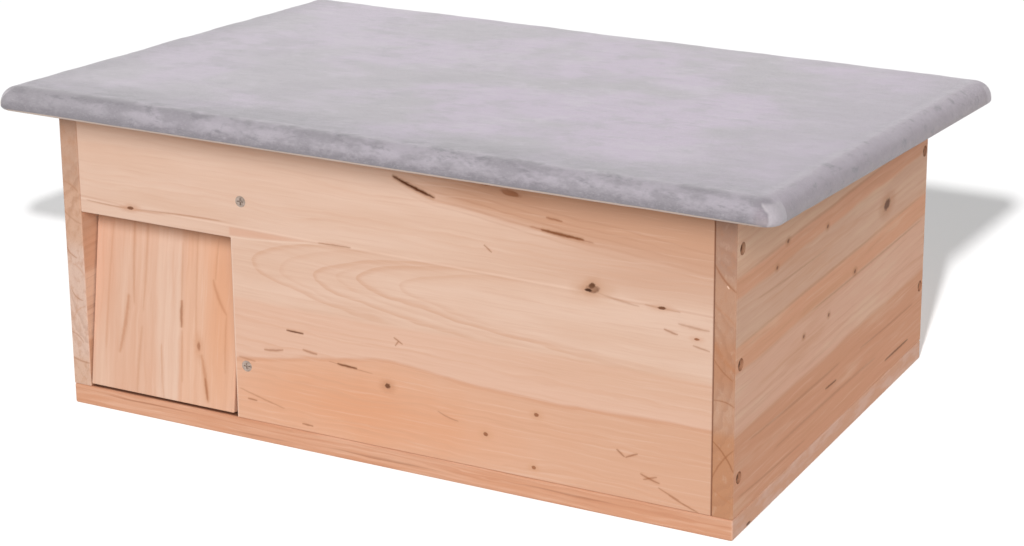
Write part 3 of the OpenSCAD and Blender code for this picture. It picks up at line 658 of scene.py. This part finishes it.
def right_wood():
    bands = [(168.7, 230, (188, 153, 129)), (155, 168.7, (187, 139, 112)), (126, 155, (184, 148, 126)),
             (107.5, 124.7, (188, 139, 111)), (68, 107.5, (191, 151, 129)), (-5, 68, (181, 132, 105))]
    deep, faint = srgb(112, 66, 42), srgb(158, 98, 68)
    marks = [(0, 168.9, 337, 168.5, 1.6, 0.12, faint, 0.0), (0, 124.9, 337, 124.4, 1.8, 0.14, faint, 0.0),
             (150, 44.4, 171, 43.8, 1.2, 0.8, deep, 0.0), (262, 24.2, 311, 23.8, 1.4, 0.75, deep, 0.0),
             (20, 58, 180, 54, 1.8, 0.22, faint, 1.0), (60, 36, 250, 33, 2.0, 0.22, faint, -1.0),
             (210, 51, 320, 48, 1.4, 0.26, faint, 0.6), (5, 26, 120, 22, 1.4, 0.22, faint, 0.5),
             (120, 108, 335, 106.5, 1.4, 0.24, faint, 0.4), (30, 146, 150, 142, 1.2, 0.2, faint, 0.6)]
    spots = [(257, 139, 5.5, 3.4), (153, 95, 1.3, 1.1), (110, 95, 1.3, 1.1), (199, 110, 1.6, 1.3),
             (147, 157, 1.4, 1.1), (63, 156, 1.4, 1.1), (80, 168, 1.6, 1.2)]
    brown, tan, inside = (150, 96, 66), (188, 128, 92), -14.4
    ends = [(inside, 177, 1, 160, 1.2, 0.55, brown, 1.6), (inside, 150, 1, 138, 1.2, 0.25, tan, -1.2),
            (inside, 127, 1, 110, 2.2, 0.4, tan, 1.4), (inside, 117, -1, 104, 1.0, 0.4, brown, 1.0),
            (inside, 90, 1, 87, 0.9, 0.5, brown, -1.6), (inside, 64, 1, 43, 1.0, 0.6, brown, -1.8),
            (1, 61, inside, 38, 1.0, 0.5, brown, 1.8), (inside, 34, 1, 24, 1.0, 0.35, tan, 1.2),
            (-6.0, 164, -4.6, 162, 0.9, 0.9, (244, 208, 184), 0.0)]
    front_bands = [(-10, 70, 4, (193, 138, 102), 0.85), (70, 92, 5, (200, 158, 132), 0.6),
                   (100, 128, 6, (188, 132, 98), 0.6), (168, 230, 8, (176, 138, 118), 0.85)]
    return side_wood("right_side_panel_wood", RIGHT - 60, 41.0, ON_RIGHT, (184, 148, 124), bands, marks,
                     spots, (192, 148, 122), front_bands, SIDE_SCREWS, ends, RIGHT)


def left_wood():
    bands = [(150, 230, (218, 180, 154)), (96, 150, (208, 164, 136)), (48, 96, (222, 188, 164)),
             (-5, 48, (210, 166, 136))]
    deep, faint = srgb(104, 64, 44), srgb(150, 100, 72)
    marks = [(30, 150.3, 300, 149.8, 1.2, 0.4, faint, 0.0), (20, 96.4, 320, 95.6, 1.2, 0.4, faint, 0.3),
             (90, 122, 130, 121, 1.2, 0.6, deep, 0.2), (200, 66, 236, 67, 1.1, 0.6, deep, 0.0)]
    spots = [(214, 172, 4.2, 2.8), (92, 72, 1.8, 1.4), (270, 34, 1.6, 1.2)]
    brown, tan = (168, 118, 92), (204, 160, 136)
    ends = [(-1, 116, 9, 106, 1.0, 0.5, brown, 2.0), (4, 102, 14.4, 92, 0.9, 0.4, tan, -2.0),
            (2, 84, 12, 76, 0.9, 0.45, brown, 2.2), (13, 72, 3, 62, 0.9, 0.4, tan, 2.0),
            (-1, 52, 10, 45, 0.9, 0.4, brown, -1.8), (-1, 34, 14.4, 31, 1.1, 0.5, brown, 0.8),
            (-1, 140, 14.4, 131, 1.0, 0.3, brown, 1.4), (1, 160, 13, 153, 1.0, 0.3, brown, -1.2)]
    front_bands = [(150, 230, 8, (194, 154, 130), 0.9), (116, 158, 8, (210, 166, 138), 0.8),
                   (-10, 34, 5, (214, 176, 152), 0.8)]
    return side_wood("left_side_panel_wood", LEFT + 70, 57.0, 0.9, (214, 176, 150), bands, marks, spots,
                     (220, 188, 170), front_bands, ends=ends, outer=LEFT)


def partition_wood():
    return side_wood("partition_wood", -60, 63.0, 0.9, (218, 182, 154),
                     [(120, 230, (222, 188, 160)), (58, 120, (212, 170, 140))],
                     [(20, 120.3, 320, 119.8, 1.2, 0.4, srgb(150, 100, 72), 0.0)],
                     [(120, 88, 4.0, 2.8), (70, 160, 1.6, 1.3)], (206, 166, 140))


def broad_wood(name, axes, seed, ground, zone_tone, dark, pale, spots, rows, streaks=()):
    """A plain board in zones and rows of colour, with a few knots and streaks."""
    t = Wood(name, axes, seed, 0.8)
    g, w, d = places = t.g, t.w, t.d
    for g0, w0, long, wide in spots:
        t.knot_push(g0, w0, long * 5, wide * 4, wide * 0.8)
    drift = t.sway(places, (0.009, 0.03, 0.02), seed)
    bent = t.add(w, t.mul(drift, 9.0), t.mul(t.ripple, 0.6), t.push)
    t.color = t.tone(ground)
    t.paint(zone_tone, t.range(t.cloud(places, (0.005, 0.03, 0.03), seed + 3), 0.36, 0.66))
    for low, high, tone, k in rows:
        t.paint(tone, t.between(bent, low, high, 1.2), k)
    rings = t.add(t.mul(t.add(bent, t.mul(g, 0.014), t.mul(d, 0.5)), 1 / 6.4), t.mul(drift, 1.6))
    lines = t.ring_lines(rings, 0.82)
    t.paint(dark, lines, 0.45)
    t.grains(t.cloud((g, bent, d), (0.014, 0.55, 0.5), seed + 31, rough=0.62), dark, 0.40, pale, 0.30,
             dark, 0.26)
    t.stains(streaks)
    t.knots(spots, srgb(176, 118, 84))
    return t.finish(lines, 0.24)


def back_wood():
    return broad_wood(
        "back_panel_wood", "xzy", 101.0, (226, 192, 168), (216, 176, 148), (196, 148, 118), (238, 210, 190),
        [(-120, 132, 4.5, 3.2), (88, 60, 2.0, 1.5), (170, 150, 1.8, 1.3)],
        [(0, 62, (220, 168, 136), 0.8), (62, 104, (224, 186, 162), 0.6)],
        [(-200, 96, -120, 94, 1.2, 0.5, srgb(128, 78, 52), 0.4),
         (40, 118, 96, 116, 1.4, 0.6, srgb(104, 62, 42), 0.3)])


def roof_wood():
    return broad_wood(
        "roof_board_wood", "xyz", 121.0, (228, 196, 170), (220, 182, 152), (198, 152, 122), (240, 214, 192),
        [(-150, 60, 4.5, 3.4), (120, -80, 4.0, 3.0), (40, 90, 2.0, 1.6)],
        [(-210, -70, (222, 180, 150), 0.6), (70, 230, (224, 190, 164), 0.6)])


def floor_wood():
    """Grain along the front, with the pith far below."""
    t = Wood("floor_board_wood", "xyz", 71.0)
    x, y, z = places = t.g, t.w, t.d
    drift = t.sway(places, (0.012, 0.03, 0.12))
    bent = t.add(z, t.mul(drift, 9.0), t.mul(y, 0.16), t.mul(x, 0.004))
    t.color = lit(220, 170, 141)
    t.paint((214, 158, 126), t.range(t.cloud(places, (0.01, 0.03, 0.1)), 0.36, 0.64))
    lines = t.ring_lines(t.mul(bent, 1 / 3.6))
    t.paint((202, 142, 110), lines, 0.5)
    t.grains(t.cloud((x, bent, y), (0.012, 0.5, 0.3), rough=0.62), (196, 138, 106), 0.45,
             (238, 200, 174), 0.35, (190, 136, 106), 0.26)
    for x0, z0, length, k in ((60, 10, 46, 0.5), (246, 5.5, 60, 0.5), (380, 9, 50, 0.45), (150, 4, 36, 0.4)):
        a = t.mul(t.sub(x, LEFT + x0), 1 / length)
        b = t.sub(t.add(z, t.mul(drift, 5)), z0)
        t.paint((158, 104, 74), t.range(t.hypot(a, b), 1.0, 0.2), k)
    # the shade of the entrance
    inner = LEFT + WALL_T
    t.paint((96, 60, 42), t.range(z, FLOOR_T - 0.5, FLOOR_T - 0.1), t.range(y, FRONT + 1.0, FRONT + 2.2),
            t.range(y, FRONT + 40, FRONT + 16), t.range(x, inner - 1, inner + 0.5),
            t.range(x, ENTRANCE_X + 1.5, ENTRANCE_X), 0.75)
    # the right end, with a dark nick near the front
    mottle = t.cloud((y, z), (0.03, 0.12), 77.0)
    end = t.mix(t.range(mottle, 0.42, 0.64), lit(180, 138, 114, ON_RIGHT), lit(185, 151, 134, ON_RIGHT))
    a, b = t.sub(y, FRONT + 25), t.sub(z, 1.9)
    nick = t.range(t.math("SQRT", t.add(t.mul(a, a, 0.1), t.mul(b, b))), 1.4, 0.6)
    end = t.mix(t.mul(nick, 0.9), end, srgb(84, 56, 44))
    end_grain(t, RIGHT, 1, end, (40, 60), 9.0, 73.0, amount=0.2, light=ON_RIGHT)
    end_grain(t, LEFT, -1, (200, 160, 134), (40, 60), 5.0, 75.0)
    return t.finish(lines, 0.24)


def flap_wood():
    """Vertical grain, in the flap's own leaning plane. g is counted down from the top of the entrance."""
    t = Wood("entrance_flap_wood", None, 83.0)
    x, depth, rise = t.split(t.coords((0, FLAP_AXIS_Y, FLAP_AXIS_Z), FLAP_LEAN))
    across = t.sub(x, box_mm("entrance_flap")[0][0])
    down = t.sub(-FLAP_AXIS_RISE, rise)
    t.lay((down, across, depth), (down, across))
    for g0, w0, long, wide in ((84, 86, 14, 8), (38, 92, 12, 8)):
        t.knot_push(g0, w0, long, wide, 1.0)
    places = down, across
    drift = t.sway(places, (0.014, 0.035), 91.0)
    bent = t.add(across, t.mul(drift, 8.0), t.mul(t.ripple, 0.5), t.push)
    t.color = lit(223, 183, 159)
    t.paint((220, 175, 149), t.range(t.cloud(places, (0.006, 0.05), 93.0), 0.36, 0.64))
    t.paint((228, 180, 150), t.range(t.sub(bent, 72), -3, 3), 0.55)
    t.paint((229, 196, 175), t.range(t.sub(bent, t.add(54, t.mul(down, 0.01))), -7.0, 2.0),
            t.range(t.sub(t.add(67.5, t.mul(down, 0.02)), bent), -2.4, 1.6), 0.65)
    t.paint((222, 162, 124), t.blot(52, 103, 54, 11, 0.0, 0.4, 0.8), 0.65)
    lines = t.ring_lines(t.add(t.mul(bent, 1 / 7.4), t.mul(drift, 0.7)))
    t.paint((210, 156, 126), lines, 0.20)
    t.grains(t.cloud((down, bent), (0.012, 0.28), 95.0), (210, 156, 126), 0.34, (236, 203, 181), 0.26,
             (200, 148, 118), 0.13)
    brown, tan = (150, 92, 58), (188, 126, 90)
    t.stains([
        (-6, 31, 66, 33, 1.6, 0.30, tan, 1.0), (56, 28, 100, 22, 2.4, 0.45, tan, -1.0),
        (-6, 41, 70, 40, 1.6, 0.22, tan, -0.8), (76, 40, 128, 38, 1.8, 0.22, tan, 0.6),
        (4, 14, 100, 11, 1.4, 0.18, tan, 0.8), (54, 71, 74, 71.8, 1.8, 0.62, brown, 0.3),
        (14, 70, 60, 71, 1.2, 0.22, tan, 0.0), (74, 72, 112, 74, 1.2, 0.25, tan, 0.0),
        (0, 82, 84, 84, 1.4, 0.24, tan, 1.0), (88, 88, 122, 95.5, 2.4, 0.50, tan, -0.6),
        (104, 92, 120, 95, 1.4, 0.5, brown, 0.0), (36, 95, 60, 107.5, 1.8, 0.40, tan, 1.5),
        (58, 107, 100, 108, 1.4, 0.25, tan, 0.6), (6, 99, 38, 97, 1.4, 0.22, tan, 0.5),
        (86, 56, 126, 60, 1.6, 0.20, tan, 0.5)])
    t.paint((208, 152, 118), t.blot(84, 86, 8, 3.2, 0.1, 0.4, 0.8), 0.6)
    t.paint(brown, t.blot(84, 86, 3.0, 1.2, 0.1, 0.4, 0.5), 0.6)
    # painted shade under the lintel, and painted shade along the lower arris from the gap below it
    t.paint((172, 124, 94), t.range(t.add(down, t.mul(drift, 5.0)), 18, 1), 0.86)
    t.paint((150, 102, 76), t.range(down, 124.6, 125.2), 0.6)
    return t.finish(lines, 0.22)

# Felt
# Gap under the roof board, thicknesses of board, felt and skin, overhangs, and radii of the roof's edges
LID_GAP, HALF_BOARD_T, FELT_T, SKIN_T = 0.3, 6.25, 1.5, 1.35
ROOF_FRONT, ROOF_BACK = 25, 41
EDGE_R, FOOT_R, HALF_T = 12.0, 2.5, HALF_BOARD_T + FELT_T
WALLS_L = (BACK - FRONT) / math.cos(PITCH)
HALF_W = (box_mm("roof_felt")[1][0] - box_mm("roof_felt")[0][0]) / 2
HALF_L = (WALLS_L + ROOF_FRONT + ROOF_BACK) / 2
ROOF_MIDDLE = WALLS_L / 2 + (ROOF_BACK - ROOF_FRONT) / 2
# The underside of the roof board over the front face
ROOF_FOOT_Y, ROOF_FOOT_Z = FRONT, FRONT_H + LID_GAP / math.cos(PITCH)


def roof_point(x, s, n):
    """x, and s and n along and across the roof from its middle, to the row frame in metres."""
    s = s + ROOF_MIDDLE
    n = n + HALF_BOARD_T
    c, k = math.cos(PITCH), math.sin(PITCH)
    return Vector((x, ROOF_FOOT_Y + s * c + n * k, ROOF_FOOT_Z - s * k + n * c)) * MM


def soft_noise(points, seed, cell):
    """Smooth seeded value noise on an array of 3-D points, from -1 to 1."""
    side = 32
    table = np.random.default_rng(seed).random((side, side, side))
    q = points / cell
    i = np.floor(q).astype(int)
    f = q - i
    f = f * f * (3 - 2 * f)
    total = np.zeros(len(points))
    for corner in np.ndindex(2, 2, 2):
        share = np.prod(np.where(corner, f, 1 - f), axis=1)
        a, b, c = ((i + corner) % side).T
        total += share * table[a, b, c]
    return total * 2 - 1


def felt_section():
    """The roof's edge in section: (distance out from the flat middle, height, outward part and upward
    part of the normal), from the top round under the foot to the felt's cut edge."""
    edge_steps, foot_steps, turned_under = 10, 4, (6.0, 2.5, 0.0, -3.0, -6.0)
    section = []
    for k in range(1, edge_steps + 1):
        a = math.radians(90 / edge_steps * k)
        c, s = math.cos(a), math.sin(a)
        section.append((EDGE_R * s, HALF_T - EDGE_R + EDGE_R * c, s, c))
    for k in range(foot_steps + 1):
        a = math.radians(90 / foot_steps * k)
        c, s = math.cos(a), math.sin(a)
        section.append((EDGE_R - FOOT_R + FOOT_R * c, FOOT_R - HALF_T - FOOT_R * s, c, -s))
    return section + [(out, -HALF_T, 0.0, -1.0) for out in turned_under]


def felt_lift(p, n, turn, hx, hy):
    """How far the felt stands off: low swellings, puckers along the rim and the layers folded round each
    corner. p are points, n normals and turn angles round a corner."""
    lift = 0.30 + 0.18 * soft_noise(p + 500, 5, 70) + 0.12 * soft_noise(p + 500, 6, 24)
    inward = np.minimum(hx + EDGE_R - np.abs(p[:, 0]), hy + EDGE_R - np.abs(p[:, 1]))
    near = np.clip(1 - inward / 40, 0, 1)
    lift += near * (0.26 * soft_noise(p * (1, 1, 0.4) + 900, 8, 17) + 0.14 * soft_noise(p + 900, 9, 7))
    # the fold's brink leans, so it is nearer the front or back edge at the top
    brink = 38 - 24 * np.clip(p[:, 2] / 7, 0, 1)
    folded = 0.5 + 0.45 * np.clip((brink - turn) / 5, 0, 1)
    near_end = np.clip((np.abs(p[:, 0]) - (hx - 26)) / 26, 0, 1)
    near_corner = np.clip((np.abs(p[:, 1]) - (hy - 5)) / 1.5, 0, 1)
    layer = np.where(turn < 0, 0.95 * near_end ** 2, np.where(turn > 90, 0.5 * near_corner, folded))
    height = np.clip((HALF_T - 0.6 - p[:, 2]) / 3.5, 0, 1)
    lift += np.where(p[:, 2] < HALF_T - 1.0, layer * height, 0)
    # flush underneath
    return np.where(n[:, 2] < 0, np.minimum(lift, 0.9 * (1 + n[:, 2])), lift)


def felt_skin(mat):
    """The felt, stretched over the board, folded at its corners and turned under its edges."""
    hx, hy = HALF_W - EDGE_R, HALF_L - EDGE_R
    step, corner_steps, on_long_edge, on_side_edge = 4.0, 24, -1.0, 91.0
    nx, ny = round(2 * hx / step), round(2 * hy / step)
    points, normals, turns, faces = [], [], [], []

    def put(x, s, n, normal, turn=on_long_edge):
        points.append((x, s, n))
        normals.append(normal)
        turns.append(turn)
        return len(points) - 1

    grid = [[put(-hx + 2 * hx * i / nx, -hy + 2 * hy * j / ny, HALF_T, (0, 0, 1)) for i in range(nx + 1)]
            for j in range(ny + 1)]
    for j in range(ny):
        for i in range(nx):
            faces.append((grid[j][i], grid[j][i + 1], grid[j + 1][i + 1], grid[j + 1][i]))
    # the rim, counter-clockwise: points on the edge of the flat middle with their outward directions.
    # turn is the angle round a corner from the front or back edge to the side edge, in degrees.
    corners = ((-hx, -hy), (hx, -hy), (hx, hy), (-hx, hy))
    outward = ((0.0, -1.0), (1.0, 0.0), (0.0, 1.0), (-1.0, 0.0))
    edges = (grid[0], [row[nx] for row in grid], grid[ny][::-1], [row[0] for row in grid][::-1])
    rim = []
    for side, tops in enumerate(edges):
        (x0, y0), (x1, y1) = corners[side], corners[(side + 1) % 4]
        for k in range(corner_steps + 1):
            turn = 90 * k / corner_steps
            a = math.radians((180 + 90 * side) % 360 + turn)
            rim.append((x0, y0, math.cos(a), math.sin(a), tops[0], turn if side % 2 else 90 - turn))
        n = len(tops) - 1
        turn = on_side_edge if side % 2 else on_long_edge
        for i in range(1, n):
            rim.append((x0 + (x1 - x0) * i / n, y0 + (y1 - y0) * i / n, *outward[side], tops[i], turn))
    last = [r[4] for r in rim]
    for out, n, sideways, upward in felt_section():
        ring, seen = [], {}
        for cx, cy, dx, dy, top, turn in rim:
            if out > 0:
                x, y = cx + dx * out, cy + dy * out
            else:
                x, y = max(-hx - out, min(hx + out, cx)), max(-hy - out, min(hy + out, cy))
            key = (round(x, 3), round(y, 3))
            if key not in seen:
                seen[key] = put(x, y, n, (dx * sideways, dy * sideways, upward), turn)
            ring.append(seen[key])
        for k in range(len(rim)):
            after = (k + 1) % len(rim)
            # no vertex twice, where neighbouring points fall together
            face = tuple(dict.fromkeys((last[k], ring[k], ring[after], last[after])))
            if len(face) > 2:
                faces.append(face)
        last = ring
    p, n = np.array(points), np.array(normals)
    p = p + n * felt_lift(p, n, np.array(turns), hx, hy)[:, None]
    bm = bmesh.new()
    verts = [bm.verts.new(roof_point(*q)) for q in p]
    for face in faces:
        bm.faces.new([verts[i] for i in face])
    bmesh.ops.recalc_face_normals(bm, faces=bm.faces[:])
    ob = new_piece("roof_felt_skin", bm, mat, "roof", ["roof_felt"], smooth=True)
    thick = ob.modifiers.new("thickness", "SOLIDIFY")
    thick.thickness = SKIN_T * MM
    thick.offset = -1.0
    thick.use_even_offset = True


def felt_mat():
    """Matted grey roofing felt: cloudy lilac and green-grey, with a short nap that is brushed along the
    roof, darker over the rim and folded at the corners. Highlights are painted on the folds, and
    reflected light along the foot of the front edge."""
    t = Tree("grey_felt_cloth", ON_TOP)
    x, back, rise = t.split(t.coords((0, ROOF_FOOT_Y, ROOF_FOOT_Z)))
    c, k = math.cos(PITCH), math.sin(PITCH)
    s = t.sub(t.sub(t.mul(back, c), t.mul(rise, k)), ROOF_MIDDLE)
    n = t.sub(t.add(t.mul(back, k), t.mul(rise, c)), HALF_BOARD_T)
    places = x, s, n

    def shifted(noise, reach):
        return t.mul(t.sub(noise, 0.5), reach)

    cloud = t.cloud(places, (0.010, 0.010, 0.02))
    wisp = t.cloud(places, (0.026, 0.022, 0.06), 7, 4.0, 0.64)
    blotch = t.cloud(places, (0.06, 0.09, 0.10), 17)
    nap = t.cloud(places, (0.55, 1.3, 1.1), None, 3.0, 0.7)
    brush = t.cloud(places, (0.035, 0.15, 0.2), 3)
    t.color = t.tone((189, 182, 188))
    t.paint((207, 191, 210), t.range(cloud, 0.40, 0.60))
    t.paint((212, 204, 213), t.range(x, 60, -HALF_W, 0.0, 0.4))
    t.paint((182, 175, 182), t.range(wisp, 0.50, 0.66, 0.0, 0.55))
    t.paint((214, 204, 215), t.range(wisp, 0.46, 0.34, 0.0, 0.50))
    t.paint((184, 178, 185), t.range(brush, 0.50, 0.72, 0.0, 0.22))
    t.paint((213, 206, 213), t.range(brush, 0.48, 0.30, 0.0, 0.22))
    t.paint((174, 170, 176), t.range(blotch, 0.54, 0.72, 0.0, 0.38))
    # front edge and rims, brushed across in short strokes
    along_rims = t.add(t.mul(n, 0.19), t.mul(x, 0.02), 9)
    stroke = t.cloud((x, s, along_rims), (0.055, 0.075, 1), None, 4.0, 0.68)
    speck = t.cloud(places, (0.15, 0.12, 0.16), None, 3.0, 0.62)
    from_front, from_right = t.add(s, HALF_L), t.sub(HALF_W, x)
    dusk_front = t.range(t.add(from_front, shifted(stroke, 60), shifted(cloud, 50)), 66, 10)
    dusk_right = t.range(t.add(from_right, shifted(stroke, 26)), 26, 5)
    dusk_left = t.range(t.add(x, HALF_W, shifted(stroke, 40)), 44, 4)
    t.paint((181, 170, 183), t.range(t.add(from_right, shifted(cloud, 120)), 130, 10), 0.66)
    dusk = t.highest(dusk_front, t.mul(dusk_right, 0.9), dusk_left)
    t.paint(lit(160, 154, 161, 1.04), dusk, 0.62)
    t.light = ON_FRONT
    ragged = shifted(stroke, 10)
    rim = t.highest(t.range(t.add(from_front, ragged), 19, 10), t.range(t.add(from_right, ragged), 19, 10),
                    t.range(n, 7.6, 6.0))
    beside = t.range(from_right, 16, 9)
    front_tone = t.mix(t.range(n, -2.5, 4.0), lit(172, 165, 171), lit(194, 186, 194))
    side_tone = t.mix(t.range(n, 0.5, 6.5), lit(165, 153, 160), lit(186, 175, 185))
    t.paint(t.mix(beside, front_tone, side_tone), rim, 0.75)
    t.paint((158, 154, 157), t.range(x, 140 - HALF_W, 20 - HALF_W), rim, 0.55)
    fleck = t.cloud(places, (0.13, 0.13, 0.24), 5, 4.0, 0.7)
    deep = t.range(t.add(n, shifted(fleck, 13.0), shifted(stroke, 9.0)), 0.0, -5.5)
    t.paint(t.mix(beside, lit(134, 129, 134), lit(170, 158, 161)), deep, 0.76)
    edges = t.highest(rim, dusk)
    t.paint((134, 131, 136), t.range(stroke, 0.54, 0.70), edges, 0.60)
    t.paint((184, 178, 185), t.range(stroke, 0.46, 0.32), edges, 0.18)
    t.paint((140, 137, 142), t.range(speck, 0.54, 0.74), edges, 0.34)
    t.paint((190, 184, 190), t.range(speck, 0.46, 0.28), edges, 0.14)
    smudge = t.cloud(places, (0.035, 0.06, 0.08), 41, 3.0, 0.66)
    t.paint((146, 141, 146), t.range(from_front, 52, 8), t.range(smudge, 0.44, 0.62), 0.55)
    # folds at the corners, with a painted highlight: a paler strip before the brink and a line along it
    past_x = t.sub(t.math("ABSOLUTE", x), HALF_W - EDGE_R)
    past_s = t.sub(t.math("ABSOLUTE", s), HALF_L - EDGE_R)
    turn = t.mul(t.math("ARCTAN2", t.highest(past_x, 0.0), t.highest(past_s, 0.0)), math.degrees(1))
    there = t.mul(t.range(past_x, -1.0, 0.5), t.range(past_s, -6.0, -5.0), t.range(n, 6.6, 4.5))
    brink = t.range(n, 0.0, 7.0, 36.0, 12.0)
    t.paint((198, 190, 196), t.mul(there, t.range(t.sub(turn, brink), -3, 3)),
            t.range(stroke, 0.35, 0.6, 0.55, 0.9))
    line = t.near(t.sub(t.add(turn, shifted(blotch, 14)), t.add(brink, 2.5)), 8.0, 2.0)
    t.paint((206, 198, 202), t.mul(line, there), t.range(blotch, 0.40, 0.58, 0.15, 0.75))
    # painted reflected light: a pale thread along the foot of the front edge, where light from the floor and
    # the wood falls on it
    t.paint((226, 202, 184), t.range(n, -5.9, -6.5), t.range(from_front, 5.0, 3.0),
            t.range(t.math("ABSOLUTE", x), HALF_W - 6, HALF_W - 12), 0.8)
    t.paint(lit(146, 142, 148, 0.9), t.range(nap, 0.5, 0.78, 0.0, 0.26))
    t.paint(lit(216, 210, 216, ON_TOP), t.range(nap, 0.5, 0.25, 0.0, 0.24))
    height = t.add(t.mul(nap, 0.7), t.mul(blotch, 0.8), t.mul(wisp, 0.6), t.mul(speck, 0.7),
                   t.mul(stroke, 0.6))
    return t.shader(0.95, t.bump(height, 0.45, 0.0009), Specular_IOR_Level=0.12, Sheen_Weight=0.5,
                    Sheen_Roughness=0.45, Sheen_Tint=(0.95, 0.93, 0.95, 1))

# Metal
def steel(name, base, dark, rough, dirt=0.35, metallic=0.9):
    """Zinc-plated steel with a cloudy spangle, fine scratches and dirt in its hollows."""
    t = Tree(name)
    place = t.coords()
    cloud = t.noise(place, 0.35)
    cells = t.node("TexVoronoi", Vector=place, Scale=0.7).outputs["Distance"]
    fine = t.noise(t.vmath("MULTIPLY", place, (0.4, 6.0, 6.0)), 1.0, 2.0)
    t.color = base
    t.paint(dark, t.range(cloud, 0.35, 0.68))
    t.paint(base, t.range(cells, 0.2, 0.9), 0.25)
    t.paint(srgb(92, 86, 82), t.range(fine, 0.55, 0.8, 0.0, dirt))
    return t.shader(t.range(cloud, 0.3, 0.7, rough - 0.08, rough + 0.12),
                    t.bump(t.add(fine, cloud), 0.25, 0.00012), Metallic=metallic, Specular_IOR_Level=0.5)


def shade_and_dust_screw(name, places):
    """Dark brown heads, painted as the shade deep in their counterbores, with wood dust packed in from their
    rims.
    """
    t = Tree(name)
    place = t.coords()
    x, y, z = t.split(place)
    nearest = 99.0
    for y0, z0 in places:
        a, b = t.math("POWER", t.sub(y, y0), 2.0), t.math("POWER", t.sub(z, z0), 2.0)
        nearest = t.math("MINIMUM", nearest, t.math("SQRT", t.add(a, b)))
    crumbs = t.noise(place, 0.8)
    # painted shade: the head is dark brown, for the shade deep in its counterbore
    t.color = srgb(118, 80, 58)
    t.paint(srgb(92, 60, 44), t.range(crumbs, 0.35, 0.68))
    rim = t.range(t.add(nearest, t.mul(t.sub(crumbs, 0.5), 1.6)), 1.8, 3.0)
    t.paint(lit(176, 134, 107, 0.8), rim, 0.85)
    return t.shader(0.8, t.bump(crumbs, 0.3, 0.0002), Specular_IOR_Level=0.2)


def dress(node, mat):
    mesh = NODES[node].data
    if not mesh.materials:
        mesh.materials.append(mat)
    for i in range(len(mesh.materials)):
        mesh.materials[i] = mat
    for slot in NODES[node].material_slots:
        slot.material = mat

# The house
make_camera()
make_studio(make_floor())

board("front_panel", "house", front_wood())
board("right_side_panel", "house", right_wood())
board("left_side_panel", "house", left_wood())
board("partition", "house", partition_wood())
board("floor_board", "house", floor_wood(), 1.3)
board("entrance_flap", "flap", flap_wood(), 1.0)
board("back_panel", "house", back_wood())
board("roof_board", "roof", roof_wood(), 0)
felt_skin(felt_mat())

ZINC = steel("zinc_plated_steel", srgb(196, 194, 190), srgb(158, 154, 148), 0.38)
PLAIN = steel("screw_steel", srgb(184, 166, 154), srgb(142, 124, 112), 0.5, 0.6, 0.5)
TARNISHED = steel("tarnished_screw_steel", srgb(128, 98, 80), srgb(88, 64, 50), 0.6, 0.6, 0.2)
SHADE_AND_DUST = shade_and_dust_screw("shade_and_dust_screw_steel", SIDE_SCREWS)
for node in NODES:
    if node == "right_side_screws":
        dress(node, SHADE_AND_DUST)
    elif node in ("left_side_screws", "floor_screws"):
        dress(node, TARNISHED)
    elif node in ("partition_front_screws", "partition_back_screw"):
        dress(node, PLAIN)
    elif "hinge" in node or "staples" in node:
        dress(node, ZINC)
